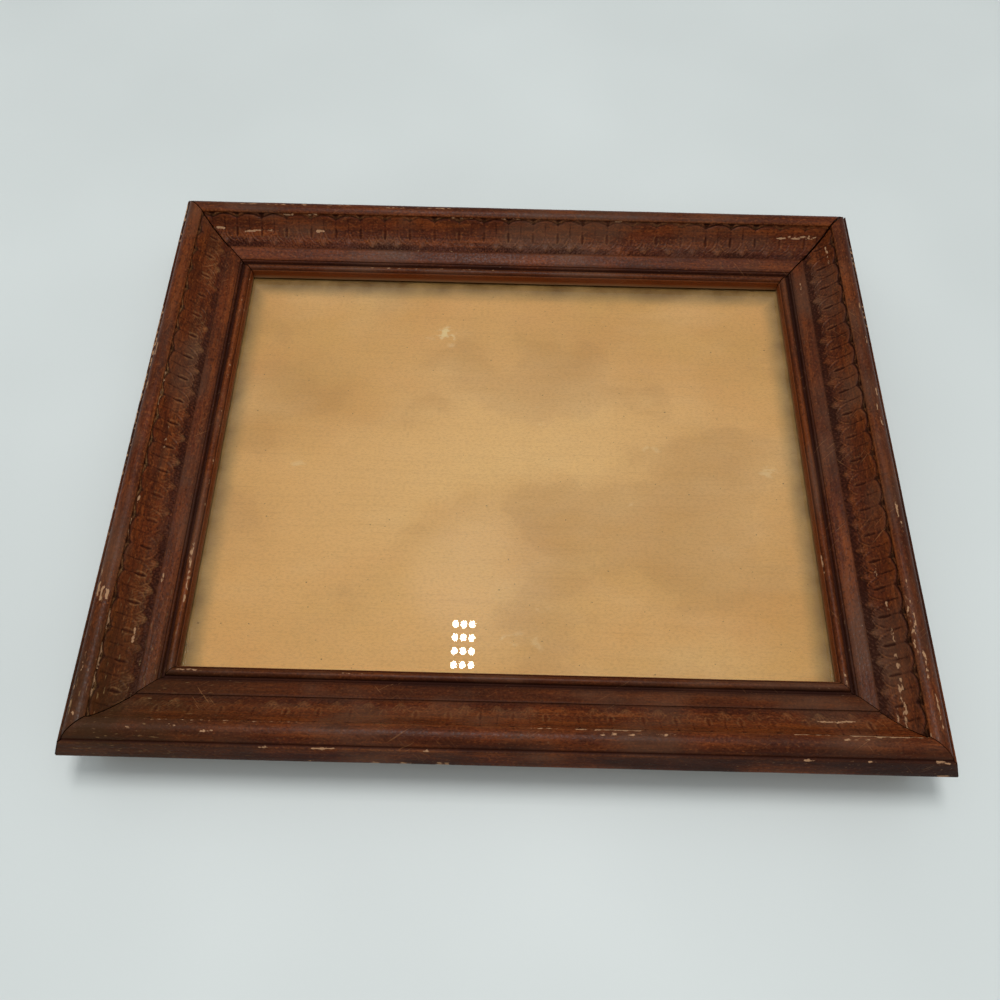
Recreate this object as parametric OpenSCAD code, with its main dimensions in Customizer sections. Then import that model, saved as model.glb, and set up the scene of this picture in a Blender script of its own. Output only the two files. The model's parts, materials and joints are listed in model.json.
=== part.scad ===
// Ornate wooden picture frame with its glass, backing and hanging hardware.
// The frame lies on its back, face up. X runs along the long side, Y along the
// short side and Z up, and the origin is under the middle of the frame, on the
// surface that its bumper pads stand on. All sizes are in millimetres.

/* [Picture size] */
// Long side of the glass that the frame is made for, ten inches
picture_l = 254; // [127:0.5:406]
// Short side of the glass that the frame is made for, eight inches
picture_w = 203.2; // [101.6:0.2:305]
// Space between the edge of the glass and the rabbet wall, on each side
glass_play = 0.8; // [0.3:0.1:2]

/* [Moulding, outer side] */
// How far the back of a rail is set in from its widest edge
undercut = 5.5; // [3:0.1:8]
// Height of the square foot along the back of a rail
foot_h = 3; // [1:0.1:6]
// Drop from the top of the ridge to the widest edge
edge_drop = 10.5; // [9.5:0.1:13]
// Radius that softens the widest edge
edge_r = 0.8; // [0.3:0.1:1.5]
// Height of the plain band up the outer side
band_h = 6.9; // [6:0.1:8]
// How far that band leans inwards from foot to top
band_lean = 2.6; // [1:0.1:4]
// Width of the narrow ledge between the band and the ridge
ledge_w = 1; // [0.5:0.1:2]

/* [Moulding, face] */
// Radius of the rounded ridge
ridge_r = 4.4; // [3.5:0.1:6]
// How far round the ridge runs past its top before it meets the cove, in degrees
ridge_turn = 43; // [30:1:60]
// Step from the ridge down into the cove
cove_step = 0.8; // [0.3:0.1:1.5]
// Width of the cove that carries the pressed border
cove_w = 12; // [9:0.1:18]
// How far the cove falls towards the glass
cove_drop = 9.5; // [6:0.1:12]
// Radius of the hollow of the cove
cove_r = 22; // [14:0.5:60]
// Height of the small step up at the foot of the cove
step_h = 0.5; // [0.2:0.1:1]
// Width of the plain band between the cove and the quirk
plain_w = 5.8; // [3:0.1:9]
// How far the plain band falls towards the glass
plain_drop = 2.1; // [1:0.1:4]

/* [Moulding, sight edge] */
// Width of the fillet between the plain band and the quirk
fillet_w = 0.7; // [0.4:0.1:1.5]
// Drop from the plain band to the fillet
fillet_drop = 0.5; // [0.2:0.1:0.8]
// Height of the plain band's lower edge above the lip
plain_rise = 1.1; // [0.9:0.1:2]
// Width of the quirk, the groove beside the bead
quirk_w = 1.5; // [1:0.1:2.5]
// How far the quirk's outer wall slopes
quirk_slope = 0.4; // [0:0.1:0.8]
// Depth of the quirk below the lip
quirk_d = 0.65; // [0.4:0.05:1.2]
// Half the width of the bead at the sight edge
bead_r = 1.5; // [1:0.1:2.5]
// How far the centre of the bead's curve lies below the lip
bead_sink = 0.4; // [0:0.1:1]
// Width of the fine groove on the inner side of the bead
line_w = 0.2; // [0.1:0.05:0.5]
// Depth of that fine groove
line_d = 0.25; // [0.1:0.05:0.5]
// Width of the flat margin between the fine groove and the sight edge
margin_w = 0.4; // [0.3:0.1:2]
// Thickness of the lip over the glass
lip_t = 4.8; // [3:0.1:7]
// Width of the rabbet, the step behind the lip that holds the glass
rabbet_w = 7.1; // [5:0.1:10]
// Glue line between two mitred rails
glue_line = 0.1; // [0.05:0.05:0.3]

/* [Backing] */
// Thickness of the glass
glass_t = 2; // [1.5:0.1:3]
// Thickness of the card that shows through the glass
card_t = 1.5; // [0.5:0.1:3]
// Thickness of the corrugated board that fills the rabbet
filler_t = 2.5; // [1:0.1:6]
// Thickness of the hardboard back
board_t = 3; // [2:0.1:6]
// How much smaller than the glass the three boards are cut, on each side
board_trim = 0.4; // [0:0.1:1]

/* [Corner nails] */
// Height of a V-nail, from the back of the frame into the wood
nail_h = 10; // [7:1:12]
// Length of one leg of the V
nail_leg = 6; // [4:0.5:7]
// Thickness of the steel strip
nail_t = 0.5; // [0.4:0.05:0.8]
// Space round a nail in its slot
nail_play = 0.05; // [0.02:0.01:0.1]
// Angle between a leg and the mitre line, in degrees
nail_angle = 60; // [45:1:75]
// Distance of the outer nail from the widest edges of both rails
nail_outer = 13; // [12:0.5:15]
// Distance of the inner nail from the widest edges of both rails
nail_inner = 22; // [20:0.5:23]

/* [Turn buttons] */
// Distance from the middle of the frame to each turn button on a long rail
button_spread = 72; // [30:1:90]
// Distance from the pivot of a turn button to the rabbet wall
button_inset = 7.5; // [6:0.5:9]
// Distance from the pivot to the middle of the round tip
button_reach = 12; // [11:0.5:13]
// Radius of the round end at the pivot
button_root_r = 4; // [3.5:0.1:5]
// Radius of the round tip
button_tip_r = 2.8; // [2:0.1:3.5]
// Thickness of a turn button
button_t = 1.2; // [0.8:0.1:1.6]
// Space above and below a turn button
button_play = 0.15; // [0.1:0.05:0.3]

/* [Hangers] */
// Distance of the hangers above the middle of the frame as it hangs
hanger_rise = 45; // [30:1:60]
// Distance from the hinge of a ring to the rabbet wall
hanger_inset = 2.5; // [2:0.5:4]
// Width of the folded strap
strap_w = 8.4; // [6:0.1:8.6]
// Length of the strap from the hinge of the ring to its round end
strap_l = 9.5; // [8:0.1:9.6]
// Thickness of one leaf of the folded strap
leaf_t = 0.9; // [0.6:0.1:1]
// Radius of the ring's wire
wire_r = 1; // [0.8:0.1:1.2]
// Running clearance between the wire and the loop of the strap
wire_play = 0.08; // [0.03:0.01:0.1]
// Radius of the ring's round bow, at the middle of the wire
bow_r = 7; // [6.5:0.1:9]
// Radius of the ring's two corners, at the middle of the wire
corner_r = 2.5; // [2:0.1:2.5]
// Length of the straight legs between the corners and the bow
leg_l = 1.5; // [1:0.1:4]

/* [Screws and pads] */
// Radius of the screws' shank
shank_r = 1.4; // [1:0.1:1.8]
// Depth of the screws in the wood
screw_depth = 11; // [8:0.5:12]
// Length of the screws' pointed end
point_l = 3; // [2:0.5:4]
// Radius of the blunt tip of that point
point_r = 0.1; // [0.05:0.05:0.3]
// Radius of the screws' round head
head_r = 2.6; // [2.2:0.1:2.8]
// Height of the screws' round head
head_h = 1.6; // [1:0.1:1.6]
// Running clearance between a screw and its turn button
pivot_play = 0.08; // [0.03:0.01:0.1]
// Space round a screw in its pilot hole and in a strap
pilot_play = 0.05; // [0.02:0.01:0.1]
// Height of the bumper pads
pad_h = 5; // [5:0.1:8]
// Radius of the bumper pads
pad_r = 5; // [3:0.1:7]
// Distance of the pads from the ends of the long rails
pad_from_end = 40; // [36:1:60]
// Distance of the pads from the widest edge of the long rails
pad_from_edge = 15; // [13:0.5:17]

/* [Hidden] */
// Steps in a full circle
$fn = 64;
// How far a cutting shape runs past the faces that it cuts
past = 1;

// Depth of the rabbet: the glass and the boards fill it
rabbet_h = glass_t + card_t + filler_t + board_t;

// Heights of the moulding's members above its back, from the glass outwards
lip_z = rabbet_h + lip_t;
plain_in_z = lip_z + plain_rise;
plain_out_z = plain_in_z + plain_drop;
cove_foot_z = plain_out_z - step_h;
cove_top_z = cove_foot_z + cove_drop;
rail_h = cove_top_z + cove_step + ridge_r * (1 - cos(ridge_turn));
ridge_z = rail_h - ridge_r;
edge_z = rail_h - edge_drop;
band_z = edge_z + band_h;

// Distances of the members from the widest edge, from the outside inwards
ledge_u = band_lean + ledge_w;
ridge_u = ledge_u + ridge_r;
cove_u = ridge_u + ridge_r * sin(ridge_turn);
plain_u = cove_u + cove_w;
plain_in_u = plain_u + plain_w;
fillet_u = plain_in_u + fillet_w;
bead_u = fillet_u + quirk_w + bead_r;
rail_w = bead_u + bead_r + line_w + margin_w;
wall_u = rail_w - rabbet_w;

// The cove's circle passes through both ends of the cove
cove_chord = norm([cove_w, cove_drop]);
cove_rise = sqrt(pow(cove_r, 2) - pow(cove_chord / 2, 2));
cove_mid = [cove_u + cove_w / 2, cove_foot_z + cove_drop / 2];
cove_centre = cove_mid + cove_rise * [cove_drop, cove_w] / cove_chord;

// Angles at which the two flanks leave the rounded widest edge
lean_angle = atan(band_lean / band_h);
flank_angle = atan(undercut / (edge_z - foot_h));

// Outside of the frame, taken at the widest edge
frame_l = picture_l + 2 * glass_play + 2 * wall_u;
frame_w = picture_w + 2 * glass_play + 2 * wall_u;

// The four sides as turns about Z, each with its rail's length and half span
BOTTOM = [0, frame_l, frame_w / 2];
RIGHT = [90, frame_w, frame_l / 2];
TOP = [180, frame_l, frame_w / 2];
LEFT = [270, frame_w, frame_l / 2];

// Hardware on the back of the rails, in a rail's own frame
button_u = wall_u - button_inset;
hinge_u = wall_u - hanger_inset;
loop_r = wire_r + wire_play + leaf_t;
strap_hole = strap_l - strap_w / 2;
bar_half = bow_r - corner_r;

// Radius of the dome of a screw head, which meets the rim of the head
dome_r = (pow(head_r, 2) + pow(head_h, 2)) / (2 * head_h);

WOOD = "#5c2f1c";
STEEL = "#a9adb0";

// Cross-section of the moulding: x is the distance in from the widest edge,
// y the height above the back
module moulding_profile() {
    difference() {
        union() {
            polygon([
                [undercut, 0],
                [wall_u, 0],
                [wall_u, rabbet_h],
                [rail_w, rabbet_h],
                [rail_w, lip_z],
                [rail_w - margin_w, lip_z],
                [rail_w - margin_w, lip_z - line_d],
                [bead_u, lip_z - line_d],
                [bead_u, lip_z - quirk_d],
                [fillet_u + quirk_slope, lip_z - quirk_d],
                [fillet_u, plain_in_z - fillet_drop],
                [plain_in_u, plain_in_z - fillet_drop],
                [plain_in_u, plain_in_z],
                [plain_u - past, plain_out_z + past * plain_drop / plain_w],
                [plain_u - past, cove_top_z + cove_step / 2],
                [ridge_u, cove_top_z + cove_step / 2],
                [ledge_u + edge_r, band_z],
                [band_lean, band_z],
                [edge_r * (1 - cos(lean_angle)), edge_z + edge_r * sin(lean_angle)],
                [edge_r, edge_z],
                [edge_r * (1 - cos(flank_angle)), edge_z - edge_r * sin(flank_angle)],
                [undercut, foot_h]
            ]);
            translate([edge_r, edge_z]) circle(edge_r);
            translate([ridge_u, ridge_z]) circle(ridge_r);
            translate([bead_u, lip_z - bead_sink]) circle(norm([bead_r, bead_sink]));
        }
        intersection() {
            translate(cove_centre) circle(cove_r, $fn = 180);
            translate([cove_u, 0]) square([cove_w, rail_h + past]);
        }
    }
}

// Plan of a rail between its two mitres, a little wider than the moulding
module mitre_plan(length) {
    outer = length / 2 + past - glue_line / sqrt(2);
    inner = outer - rail_w - 2 * past;
    polygon([
        [-outer, -past], [outer, -past],
        [inner, rail_w + past], [-inner, rail_w + past]
    ]);
}

// One rail along X, its widest edge on the X axis and its face upwards
module rail(length) {
    intersection() {
        rotate([90, 0, 90]) linear_extrude(length, center = true) moulding_profile();
        translate([0, 0, -past]) linear_extrude(rail_h + 2 * past) mitre_plan(length);
    }
}

// Puts something made in a rail's own frame on one side of the picture frame
module on_side(side) {
    rotate(side[0]) translate([0, -side[2], pad_h]) children();
}

// Puts something made for the bottom left corner on the corner at sign sx, sy
module on_corner(sx, sy) {
    mirror([sx > 0 ? 1 : 0, 0, 0]) mirror([0, sy > 0 ? 1 : 0, 0])
        translate([-frame_l / 2, -frame_w / 2, pad_h]) children();
}

// A V-nail on the mitre line, or the slot for it where play is given
module v_nail(distance, play, below) {
    translate([distance, distance, -below]) rotate(45)
        linear_extrude(nail_h + play + below)
            for (side = [-1, 1])
                rotate(side * (180 - nail_angle))
                    translate([-nail_t / 2 - play, -nail_t / 2 - play])
                        square([nail_leg + 2 * play, nail_t + 2 * play]);
}

module corner_nails(sx, sy) {
    color(STEEL) on_corner(sx, sy)
        for (distance = [nail_outer, nail_inner]) v_nail(distance, 0, 0);
}

module v_nails_top_left() { corner_nails(-1, 1); }
module v_nails_top_right() { corner_nails(1, 1); }
module v_nails_bottom_left() { corner_nails(-1, -1); }
module v_nails_bottom_right() { corner_nails(1, -1); }

module corner_slots(sx, sy) {
    on_corner(sx, sy)
        for (distance = [nail_outer, nail_inner]) v_nail(distance, nail_play, past);
}

// A round-headed screw pointing up into the wood, its head's seat at z = -seat
module screw(seat) {
    translate([0, 0, -seat]) cylinder(r = shank_r, h = seat + screw_depth - point_l);
    translate([0, 0, screw_depth - point_l])
        cylinder(r1 = shank_r, r2 = point_r, h = point_l);
    intersection() {
        translate([0, 0, -seat - head_h]) cylinder(r = head_r + past, h = head_h);
        translate([0, 0, dome_r - seat - head_h]) sphere(dome_r);
    }
}

module pilot_hole() {
    translate([0, 0, -past])
        cylinder(r = shank_r + pilot_play, h = screw_depth + past + pilot_play);
}

// A rail in place, with the slots for its nails and the holes for its screws
module placed_rail(side, corners, holes) {
    color(WOOD) difference() {
        on_side(side) rail(side[1]);
        for (corner = corners) corner_slots(corner[0], corner[1]);
        on_side(side) for (hole = holes) translate([hole[0], hole[1], 0]) pilot_hole();
    }
}

// Places of the pilot holes on the rails
long_holes = [[-button_spread, button_u], [button_spread, button_u]];
left_holes = [[0, button_u], [-hanger_rise, hinge_u - strap_hole]];
right_holes = [[0, button_u], [hanger_rise, hinge_u - strap_hole]];

module top_rail() { placed_rail(TOP, [[-1, 1], [1, 1]], long_holes); }
module bottom_rail() { placed_rail(BOTTOM, [[-1, -1], [1, -1]], long_holes); }
module left_rail() { placed_rail(LEFT, [[-1, -1], [-1, 1]], left_holes); }
module right_rail() { placed_rail(RIGHT, [[1, -1], [1, 1]], right_holes); }

// A flat sheet in the rabbet, its lower face at height z above the rails' back
module sheet(z, t, trim) {
    translate([-picture_l / 2 + trim, -picture_w / 2 + trim, pad_h + z])
        cube([picture_l - 2 * trim, picture_w - 2 * trim, t]);
}

module glass_pane() {
    color("#cfe0dc", 0.35) sheet(board_t + filler_t + card_t, glass_t, 0);
}

module picture_card() {
    color("#c99b61") sheet(board_t + filler_t, card_t, board_trim);
}

module filler_board() {
    color("#b08a58") sheet(board_t, filler_t, board_trim);
}

module back_board() {
    color("#5a3c26") sheet(0, board_t, board_trim);
}

// A turn button with its pivot at the origin and its tip along +Y
module turn_button() {
    taper = asin((button_root_r - button_tip_r) / button_reach);
    translate([0, 0, -button_play - button_t]) linear_extrude(button_t)
        difference() {
            union() {
                circle(button_root_r);
                translate([0, button_reach]) circle(button_tip_r);
                polygon([
                    button_root_r * [cos(taper), sin(taper)],
                    [0, button_reach] + button_tip_r * [cos(taper), sin(taper)],
                    [0, button_reach] + button_tip_r * [-cos(taper), sin(taper)],
                    button_root_r * [-cos(taper), sin(taper)]
                ]);
            }
            circle(shank_r + pivot_play);
        }
}

module placed_button(side, along) {
    color(STEEL) on_side(side) translate([along, button_u, 0]) turn_button();
}

module button_screw(side, along) {
    on_side(side) translate([along, button_u, 0]) screw(button_t + 2 * button_play);
}

module turn_button_top_left() { placed_button(TOP, button_spread); }
module turn_button_top_right() { placed_button(TOP, -button_spread); }
module turn_button_bottom_left() { placed_button(BOTTOM, -button_spread); }
module turn_button_bottom_right() { placed_button(BOTTOM, button_spread); }
module turn_button_left() { placed_button(LEFT, 0); }
module turn_button_right() { placed_button(RIGHT, 0); }

module turn_button_screws() {
    color(STEEL) {
        for (side = [TOP, BOTTOM], along = [-button_spread, button_spread])
            button_screw(side, along);
        for (side = [LEFT, RIGHT]) button_screw(side, 0);
    }
}

// Strap of a hanger: a folded strip whose loop holds the ring, hinge along X
module hanger_strap() {
    difference() {
        intersection() {
            rotate([90, 0, 90]) linear_extrude(strap_w, center = true)
                difference() {
                    union() {
                        translate([-strap_l, -2 * leaf_t]) square([strap_l, 2 * leaf_t]);
                        translate([0, -loop_r]) circle(loop_r);
                    }
                    translate([0, -loop_r]) circle(wire_r + wire_play);
                }
            translate([0, 0, -2 * loop_r - past]) linear_extrude(2 * loop_r + 2 * past)
                union() {
                    translate([0, -strap_hole]) circle(strap_w / 2);
                    translate([-strap_w / 2, -strap_hole])
                        square([strap_w, strap_hole + loop_r + past]);
                }
        }
        translate([0, -strap_hole, -2 * leaf_t - past])
            cylinder(r = shank_r + pilot_play, h = 2 * leaf_t + 2 * past);
    }
}

// D-shaped ring of a hanger: bar through the loop, two legs and a round bow
module hanger_ring() {
    translate([0, 0, -loop_r]) {
        rotate([0, 90, 0]) cylinder(r = wire_r, h = 2 * bar_half, center = true);
        for (side = [0, 1]) mirror([side, 0, 0]) {
            translate([bar_half, corner_r, 0]) rotate(-90)
                rotate_extrude(angle = 90) translate([corner_r, 0]) circle(wire_r);
            translate([bow_r, corner_r, 0]) rotate([-90, 0, 0])
                cylinder(r = wire_r, h = leg_l);
        }
        translate([0, corner_r + leg_l, 0])
            rotate_extrude(angle = 180) translate([bow_r, 0]) circle(wire_r);
    }
}

module at_left_hanger() {
    on_side(LEFT) translate([-hanger_rise, hinge_u, 0]) children();
}

module at_right_hanger() {
    on_side(RIGHT) translate([hanger_rise, hinge_u, 0]) children();
}

module hanger_strap_left() { color(STEEL) at_left_hanger() hanger_strap(); }
module hanger_strap_right() { color(STEEL) at_right_hanger() hanger_strap(); }
module hanger_ring_left() { color(STEEL) at_left_hanger() hanger_ring(); }
module hanger_ring_right() { color(STEEL) at_right_hanger() hanger_ring(); }

module hanger_screws() {
    color(STEEL) {
        at_left_hanger() translate([0, -strap_hole, 0]) screw(2 * leaf_t);
        at_right_hanger() translate([0, -strap_hole, 0]) screw(2 * leaf_t);
    }
}

// Four round pads under the long rails, which the frame stands on
module bumper_pads() {
    color("#2b2522")
        for (sx = [-1, 1], sy = [-1, 1])
            translate([
                sx * (frame_l / 2 - pad_from_end),
                sy * (frame_w / 2 - pad_from_edge),
                0
            ]) cylinder(r = pad_r, h = pad_h);
}

top_rail();
bottom_rail();
left_rail();
right_rail();
glass_pane();
picture_card();
filler_board();
back_board();
v_nails_top_left();
v_nails_top_right();
v_nails_bottom_left();
v_nails_bottom_right();
turn_button_top_left();
turn_button_top_right();
turn_button_bottom_left();
turn_button_bottom_right();
turn_button_left();
turn_button_right();
turn_button_screws();
hanger_strap_left();
hanger_strap_right();
hanger_ring_left();
hanger_ring_right();
hanger_screws();
bumper_pads();
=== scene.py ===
# %% [markdown]
# # A carved wooden picture frame, lying face up
#
# The frame is four lengths of one moulding, mitred at the corners, round a pane of
# glass and a sheet of old card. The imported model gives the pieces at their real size.
# This lesson gives them their surfaces: the turned members of the moulding, the
# pressed border in its hollow, the worn stain, the glass and the steel behind.

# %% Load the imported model
import json
import math

import bmesh
import bpy
import numpy as np
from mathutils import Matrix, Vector


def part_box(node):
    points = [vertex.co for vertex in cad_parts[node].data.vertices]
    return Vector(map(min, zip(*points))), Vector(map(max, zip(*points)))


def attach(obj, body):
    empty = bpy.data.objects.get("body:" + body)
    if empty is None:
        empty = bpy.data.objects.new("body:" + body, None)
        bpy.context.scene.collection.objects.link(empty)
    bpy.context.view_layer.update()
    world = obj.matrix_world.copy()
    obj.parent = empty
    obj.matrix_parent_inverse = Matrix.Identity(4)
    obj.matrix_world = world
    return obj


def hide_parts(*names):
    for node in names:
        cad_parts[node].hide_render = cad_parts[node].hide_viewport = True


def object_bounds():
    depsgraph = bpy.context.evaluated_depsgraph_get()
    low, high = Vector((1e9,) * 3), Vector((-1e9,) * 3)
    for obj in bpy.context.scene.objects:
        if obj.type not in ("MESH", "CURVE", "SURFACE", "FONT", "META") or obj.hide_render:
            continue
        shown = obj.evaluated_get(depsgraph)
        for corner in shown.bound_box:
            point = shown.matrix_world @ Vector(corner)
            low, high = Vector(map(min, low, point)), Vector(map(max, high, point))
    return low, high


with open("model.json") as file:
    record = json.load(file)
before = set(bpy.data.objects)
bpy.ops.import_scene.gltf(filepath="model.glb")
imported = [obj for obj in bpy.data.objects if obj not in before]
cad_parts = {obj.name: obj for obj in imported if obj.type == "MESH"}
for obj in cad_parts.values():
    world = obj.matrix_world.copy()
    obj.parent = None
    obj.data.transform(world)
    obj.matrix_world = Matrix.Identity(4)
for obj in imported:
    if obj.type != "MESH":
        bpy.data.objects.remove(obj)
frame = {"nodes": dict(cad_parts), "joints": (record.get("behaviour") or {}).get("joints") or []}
cad_low, cad_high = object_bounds()
MM = 0.001
print("nodes:", len(frame["nodes"]), "box in mm:", [round(x / MM, 1) for x in cad_high - cad_low])

# %% [markdown]
# ## Camera
#
# The photograph is taken by hand from above the near rail, leaning thirty degrees
# from straight down. A 36 mm lens on a 36 mm sensor gives its wide look, so the near
# rail is larger than the far one. The place and the tilts were found by matching the
# moulding's edges and mitres.

# %% Place the camera
CAMERA_PLACE = (-4.4 * MM, -220.5 * MM, 366.2 * MM)
CAMERA_TILT = (29.66, -0.68, 1.22)
LENS = 36
SENSOR = 36
NEAREST_SEEN = 10 * MM

scene = bpy.context.scene
camera = bpy.data.objects.new("camera", bpy.data.cameras.new("camera"))
camera.data.lens = LENS
camera.data.sensor_width = SENSOR
camera.data.clip_start = NEAREST_SEEN
camera.location = CAMERA_PLACE
camera.rotation_euler = [math.radians(a) for a in CAMERA_TILT]
scene.collection.objects.link(camera)
scene.camera = camera
scene.view_settings.view_transform = "Standard"
print("camera height in mm:", round(CAMERA_PLACE[2] / MM))

# %% [markdown]
# ## Two small helpers
#
# Every tree below, for shapes and for finishes alike, is built with one function
# that adds a node, sets it and links it. A value that is itself a node stands for
# that node's first output in use. Sockets are given by name, or by number where a
# node has several of one name: Map Range reads the span from 1 to 2 and gives the
# span from 3 to 4, and Mix goes by its share 0 from 2 to 3, or from 6 to 7 where
# it mixes colours. Colours are written as a painter would pick them on a screen, in
# sRGB hex, and a second function turns them into the linear light that the renderer
# counts in.

# %% Helpers for trees and colours
def add(tree, kind, inputs=None, **settings):
    """Adds a node with its settings; inputs maps a socket to a value, node or socket."""
    node = tree.nodes.new(kind)
    for name, value in settings.items():
        setattr(node, name, value)
    for key, value in (inputs or {}).items():
        if isinstance(value, bpy.types.Node):
            value = next(o for o in value.outputs if o.enabled)
        if isinstance(value, bpy.types.NodeSocket):
            tree.links.new(value, node.inputs[key])
        else:
            node.inputs[key].default_value = value
    return node


def colour(hex_code):
    """An sRGB hex colour as linear red, green, blue and alpha."""
    parts = [int(hex_code[i:i + 2], 16) / 255 for i in (1, 3, 5)]
    return [p / 12.92 if p <= 0.04045 else ((p + 0.055) / 1.055) ** 2.4 for p in parts] + [1.0]


print("a warm brown in linear light:", [round(c, 3) for c in colour("#6a3218")])

# %% [markdown]
# Every finish starts in the same way, and all but the glass end with a colour, a
# roughness and bumps. Most of their unevenness is cloudy or streaky noise of a known
# size. So one function opens a finish, one closes it, and one grows a set of patterns
# from a table: the size of the grains in millimetres, how far they are drawn out
# along the piece, their detail, the two levels between which they fade in, and how
# strong they get.
#
# Real pores, hairline scratches, brush marks and paper fibres are a few hundredths of
# a millimetre wide, which is less than a pixel here. They would melt into an even
# tone, so wherever a table gives such a pattern a size of 0.3 to 1 mm it is drawn as
# coarse as it needs to show.

# %% Open a finish, grow its patterns and close it
MATH = "ShaderNodeMath"
MIX = "ShaderNodeMix"
RANGE = "ShaderNodeMapRange"


def new_finish(name):
    """A material with its tree and its Principled shader."""
    finish = bpy.data.materials.new(name)
    finish.use_nodes = True
    return finish, finish.node_tree, finish.node_tree.nodes["Principled BSDF"]


def grown(tree, spot, table):
    """Patterns from 0 to their strength, one for each line of the table, by name."""
    patterns = {}
    for name, (size, stretch, detail, low, high, strength) in table.items():
        along = add(tree, "ShaderNodeVectorMath", {0: spot, 1: (1 / stretch, 1, 1)}, operation="MULTIPLY")
        cells = add(tree, "ShaderNodeTexNoise", {"Vector": along, "Scale": 1 / MM / size, "Detail": detail})
        patterns[name] = add(tree, RANGE, {0: cells, 1: low, 2: high, 4: strength})
    return patterns


def close_finish(tree, shader, tint, roughness, height, depth, strength):
    """Links a colour mix, a roughness (a node or one number) and bumps of that depth."""
    tree.links.new(tint.outputs[2], shader.inputs["Base Color"])
    if isinstance(roughness, bpy.types.Node):
        tree.links.new(roughness.outputs[0], shader.inputs["Roughness"])
    else:
        shader.inputs["Roughness"].default_value = roughness
    bump = add(tree, "ShaderNodeBump", {"Height": height, "Distance": depth, "Strength": strength})
    tree.links.new(bump.outputs[0], shader.inputs["Normal"])


print("patterns are sized in mm: a 4 mm grain has noise scale", 1 / MM / 4)

# %% [markdown]
# ## Table and light
#
# The frame lies on a pale table. The shadow in front of it is narrow, so most of the
# light falls straight down: a key lamp overhead with a wide soft panel round it, both
# nearer to the camera than anything the glass mirrors, and a dim even room to fill
# the shadows. The glass would lay the mirrored room over the card as a veil, so what
# the eye and the mirrors see of the room is a little dimmer than what lights the
# frame. The room has one paler place, which the glass mirrors as a faint glow.
# Farther back hangs one small cluster of lamps, which the glass shows as three by four
# bright dots. Dots strong enough to light the wood would bleed together in the glass,
# so a small lamp beside them gives the varnish its sparkle, and lights nothing else.

# %% The room
WORLD_COLOUR = "#f2f6f8"
WORLD_LEVEL = 0.56
BACKGROUND_LEVEL = 0.42
GLOW_TOWARDS = Vector((-0.015, 0.43, 0.903))
GLOW_LEVEL = 0.80
GLOW_REACH = 0.004


def pale_room():
    """A dim world with one faint glow; the camera, the mirrors and the glass see it dimmer."""
    world = bpy.data.worlds.new("pale_room")
    world.use_nodes = True
    tree = world.node_tree
    rays = add(tree, "ShaderNodeLightPath").outputs
    seen = add(tree, MATH, {0: rays["Is Camera Ray"], 1: rays["Is Glossy Ray"]}, operation="MAXIMUM")
    seen = add(tree, MATH, {0: seen, 1: rays["Is Transmission Ray"]}, operation="MAXIMUM")
    level = add(tree, MIX, {0: seen, 2: WORLD_LEVEL, 3: BACKGROUND_LEVEL})
    direction = add(tree, "ShaderNodeTexCoord").outputs["Generated"]
    facing = add(tree, "ShaderNodeVectorMath", {0: direction, 1: GLOW_TOWARDS.normalized()},
                 operation="DOT_PRODUCT").outputs["Value"]
    glow = add(tree, RANGE, {0: facing, 1: 1 - GLOW_REACH, 2: 1.0, 4: GLOW_LEVEL},
               interpolation_type="SMOOTHSTEP")
    level = add(tree, MATH, {0: level, 1: glow}, operation="ADD")
    tree.links.new(level.outputs[0], tree.nodes["Background"].inputs["Strength"])
    tree.nodes["Background"].inputs["Color"].default_value = colour(WORLD_COLOUR)
    return world


scene.world = pale_room()
print("world:", scene.world.name)

# %% The lamps
PANEL_PLACE = Vector((0, -0.12, 1.55))
PANEL_SIZE = (1.5, 1.0)
PANEL_POWER = 4.6
KEY_PLACE = Vector((-0.02, 0.04, 1.5))
KEY_SIZE = (0.36, 0.46)
KEY_POWER = 8.4
SPARK_PLACE = Vector((-0.075, 0.36, 1.5))
SPARK_SIZE = (0.07, 0.07)
SPARK_POWER = 9.0
CLUSTER_PLACE = Vector((-0.070, 0.500, 1.5))
CLUSTER_COLUMNS = 3
CLUSTER_ROWS = 4
COLUMN_STEP = 0.0166
ROW_STEP = 0.0282
DOT_SIZE = (0.0128, 0.0162)
DOT_POWER = 0.016


def add_lamp(name, place, size, power, shape="DISK", aim=Vector((0, 0, -1))):
    """An area lamp that shines along aim."""
    lamp = bpy.data.lights.new(name, "AREA")
    lamp.shape = shape
    lamp.size, lamp.size_y = size
    lamp.energy = power
    holder = bpy.data.objects.new(name, lamp)
    holder.location = place
    holder.rotation_mode = "QUATERNION"
    holder.rotation_quaternion = aim.to_track_quat("-Z", "Y")
    scene.collection.objects.link(holder)
    return holder


add_lamp("ceiling_panel", PANEL_PLACE, PANEL_SIZE, PANEL_POWER, "RECTANGLE")
add_lamp("key_lamp", KEY_PLACE, KEY_SIZE, KEY_POWER, "RECTANGLE")
spark = add_lamp("spark_lamp", SPARK_PLACE, SPARK_SIZE, SPARK_POWER, aim=-SPARK_PLACE)
spark.visible_diffuse = False
for row in range(CLUSTER_ROWS):
    for column in range(CLUSTER_COLUMNS):
        from_middle = Vector((column - (CLUSTER_COLUMNS - 1) / 2, row - (CLUSTER_ROWS - 1) / 2, 0))
        place = CLUSTER_PLACE + from_middle * Vector((COLUMN_STEP, ROW_STEP, 0))
        add_lamp(f"cluster_dot_{row}_{column}", place, DOT_SIZE, DOT_POWER, "ELLIPSE")

# %% [markdown]
# The table is a board with eggshell paint, put on with a roller. That gives the eye a
# flat pale grey with a soft sheen, whose colour drifts a little from place to place,
# and the faint orange peel that the roller leaves.

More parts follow.
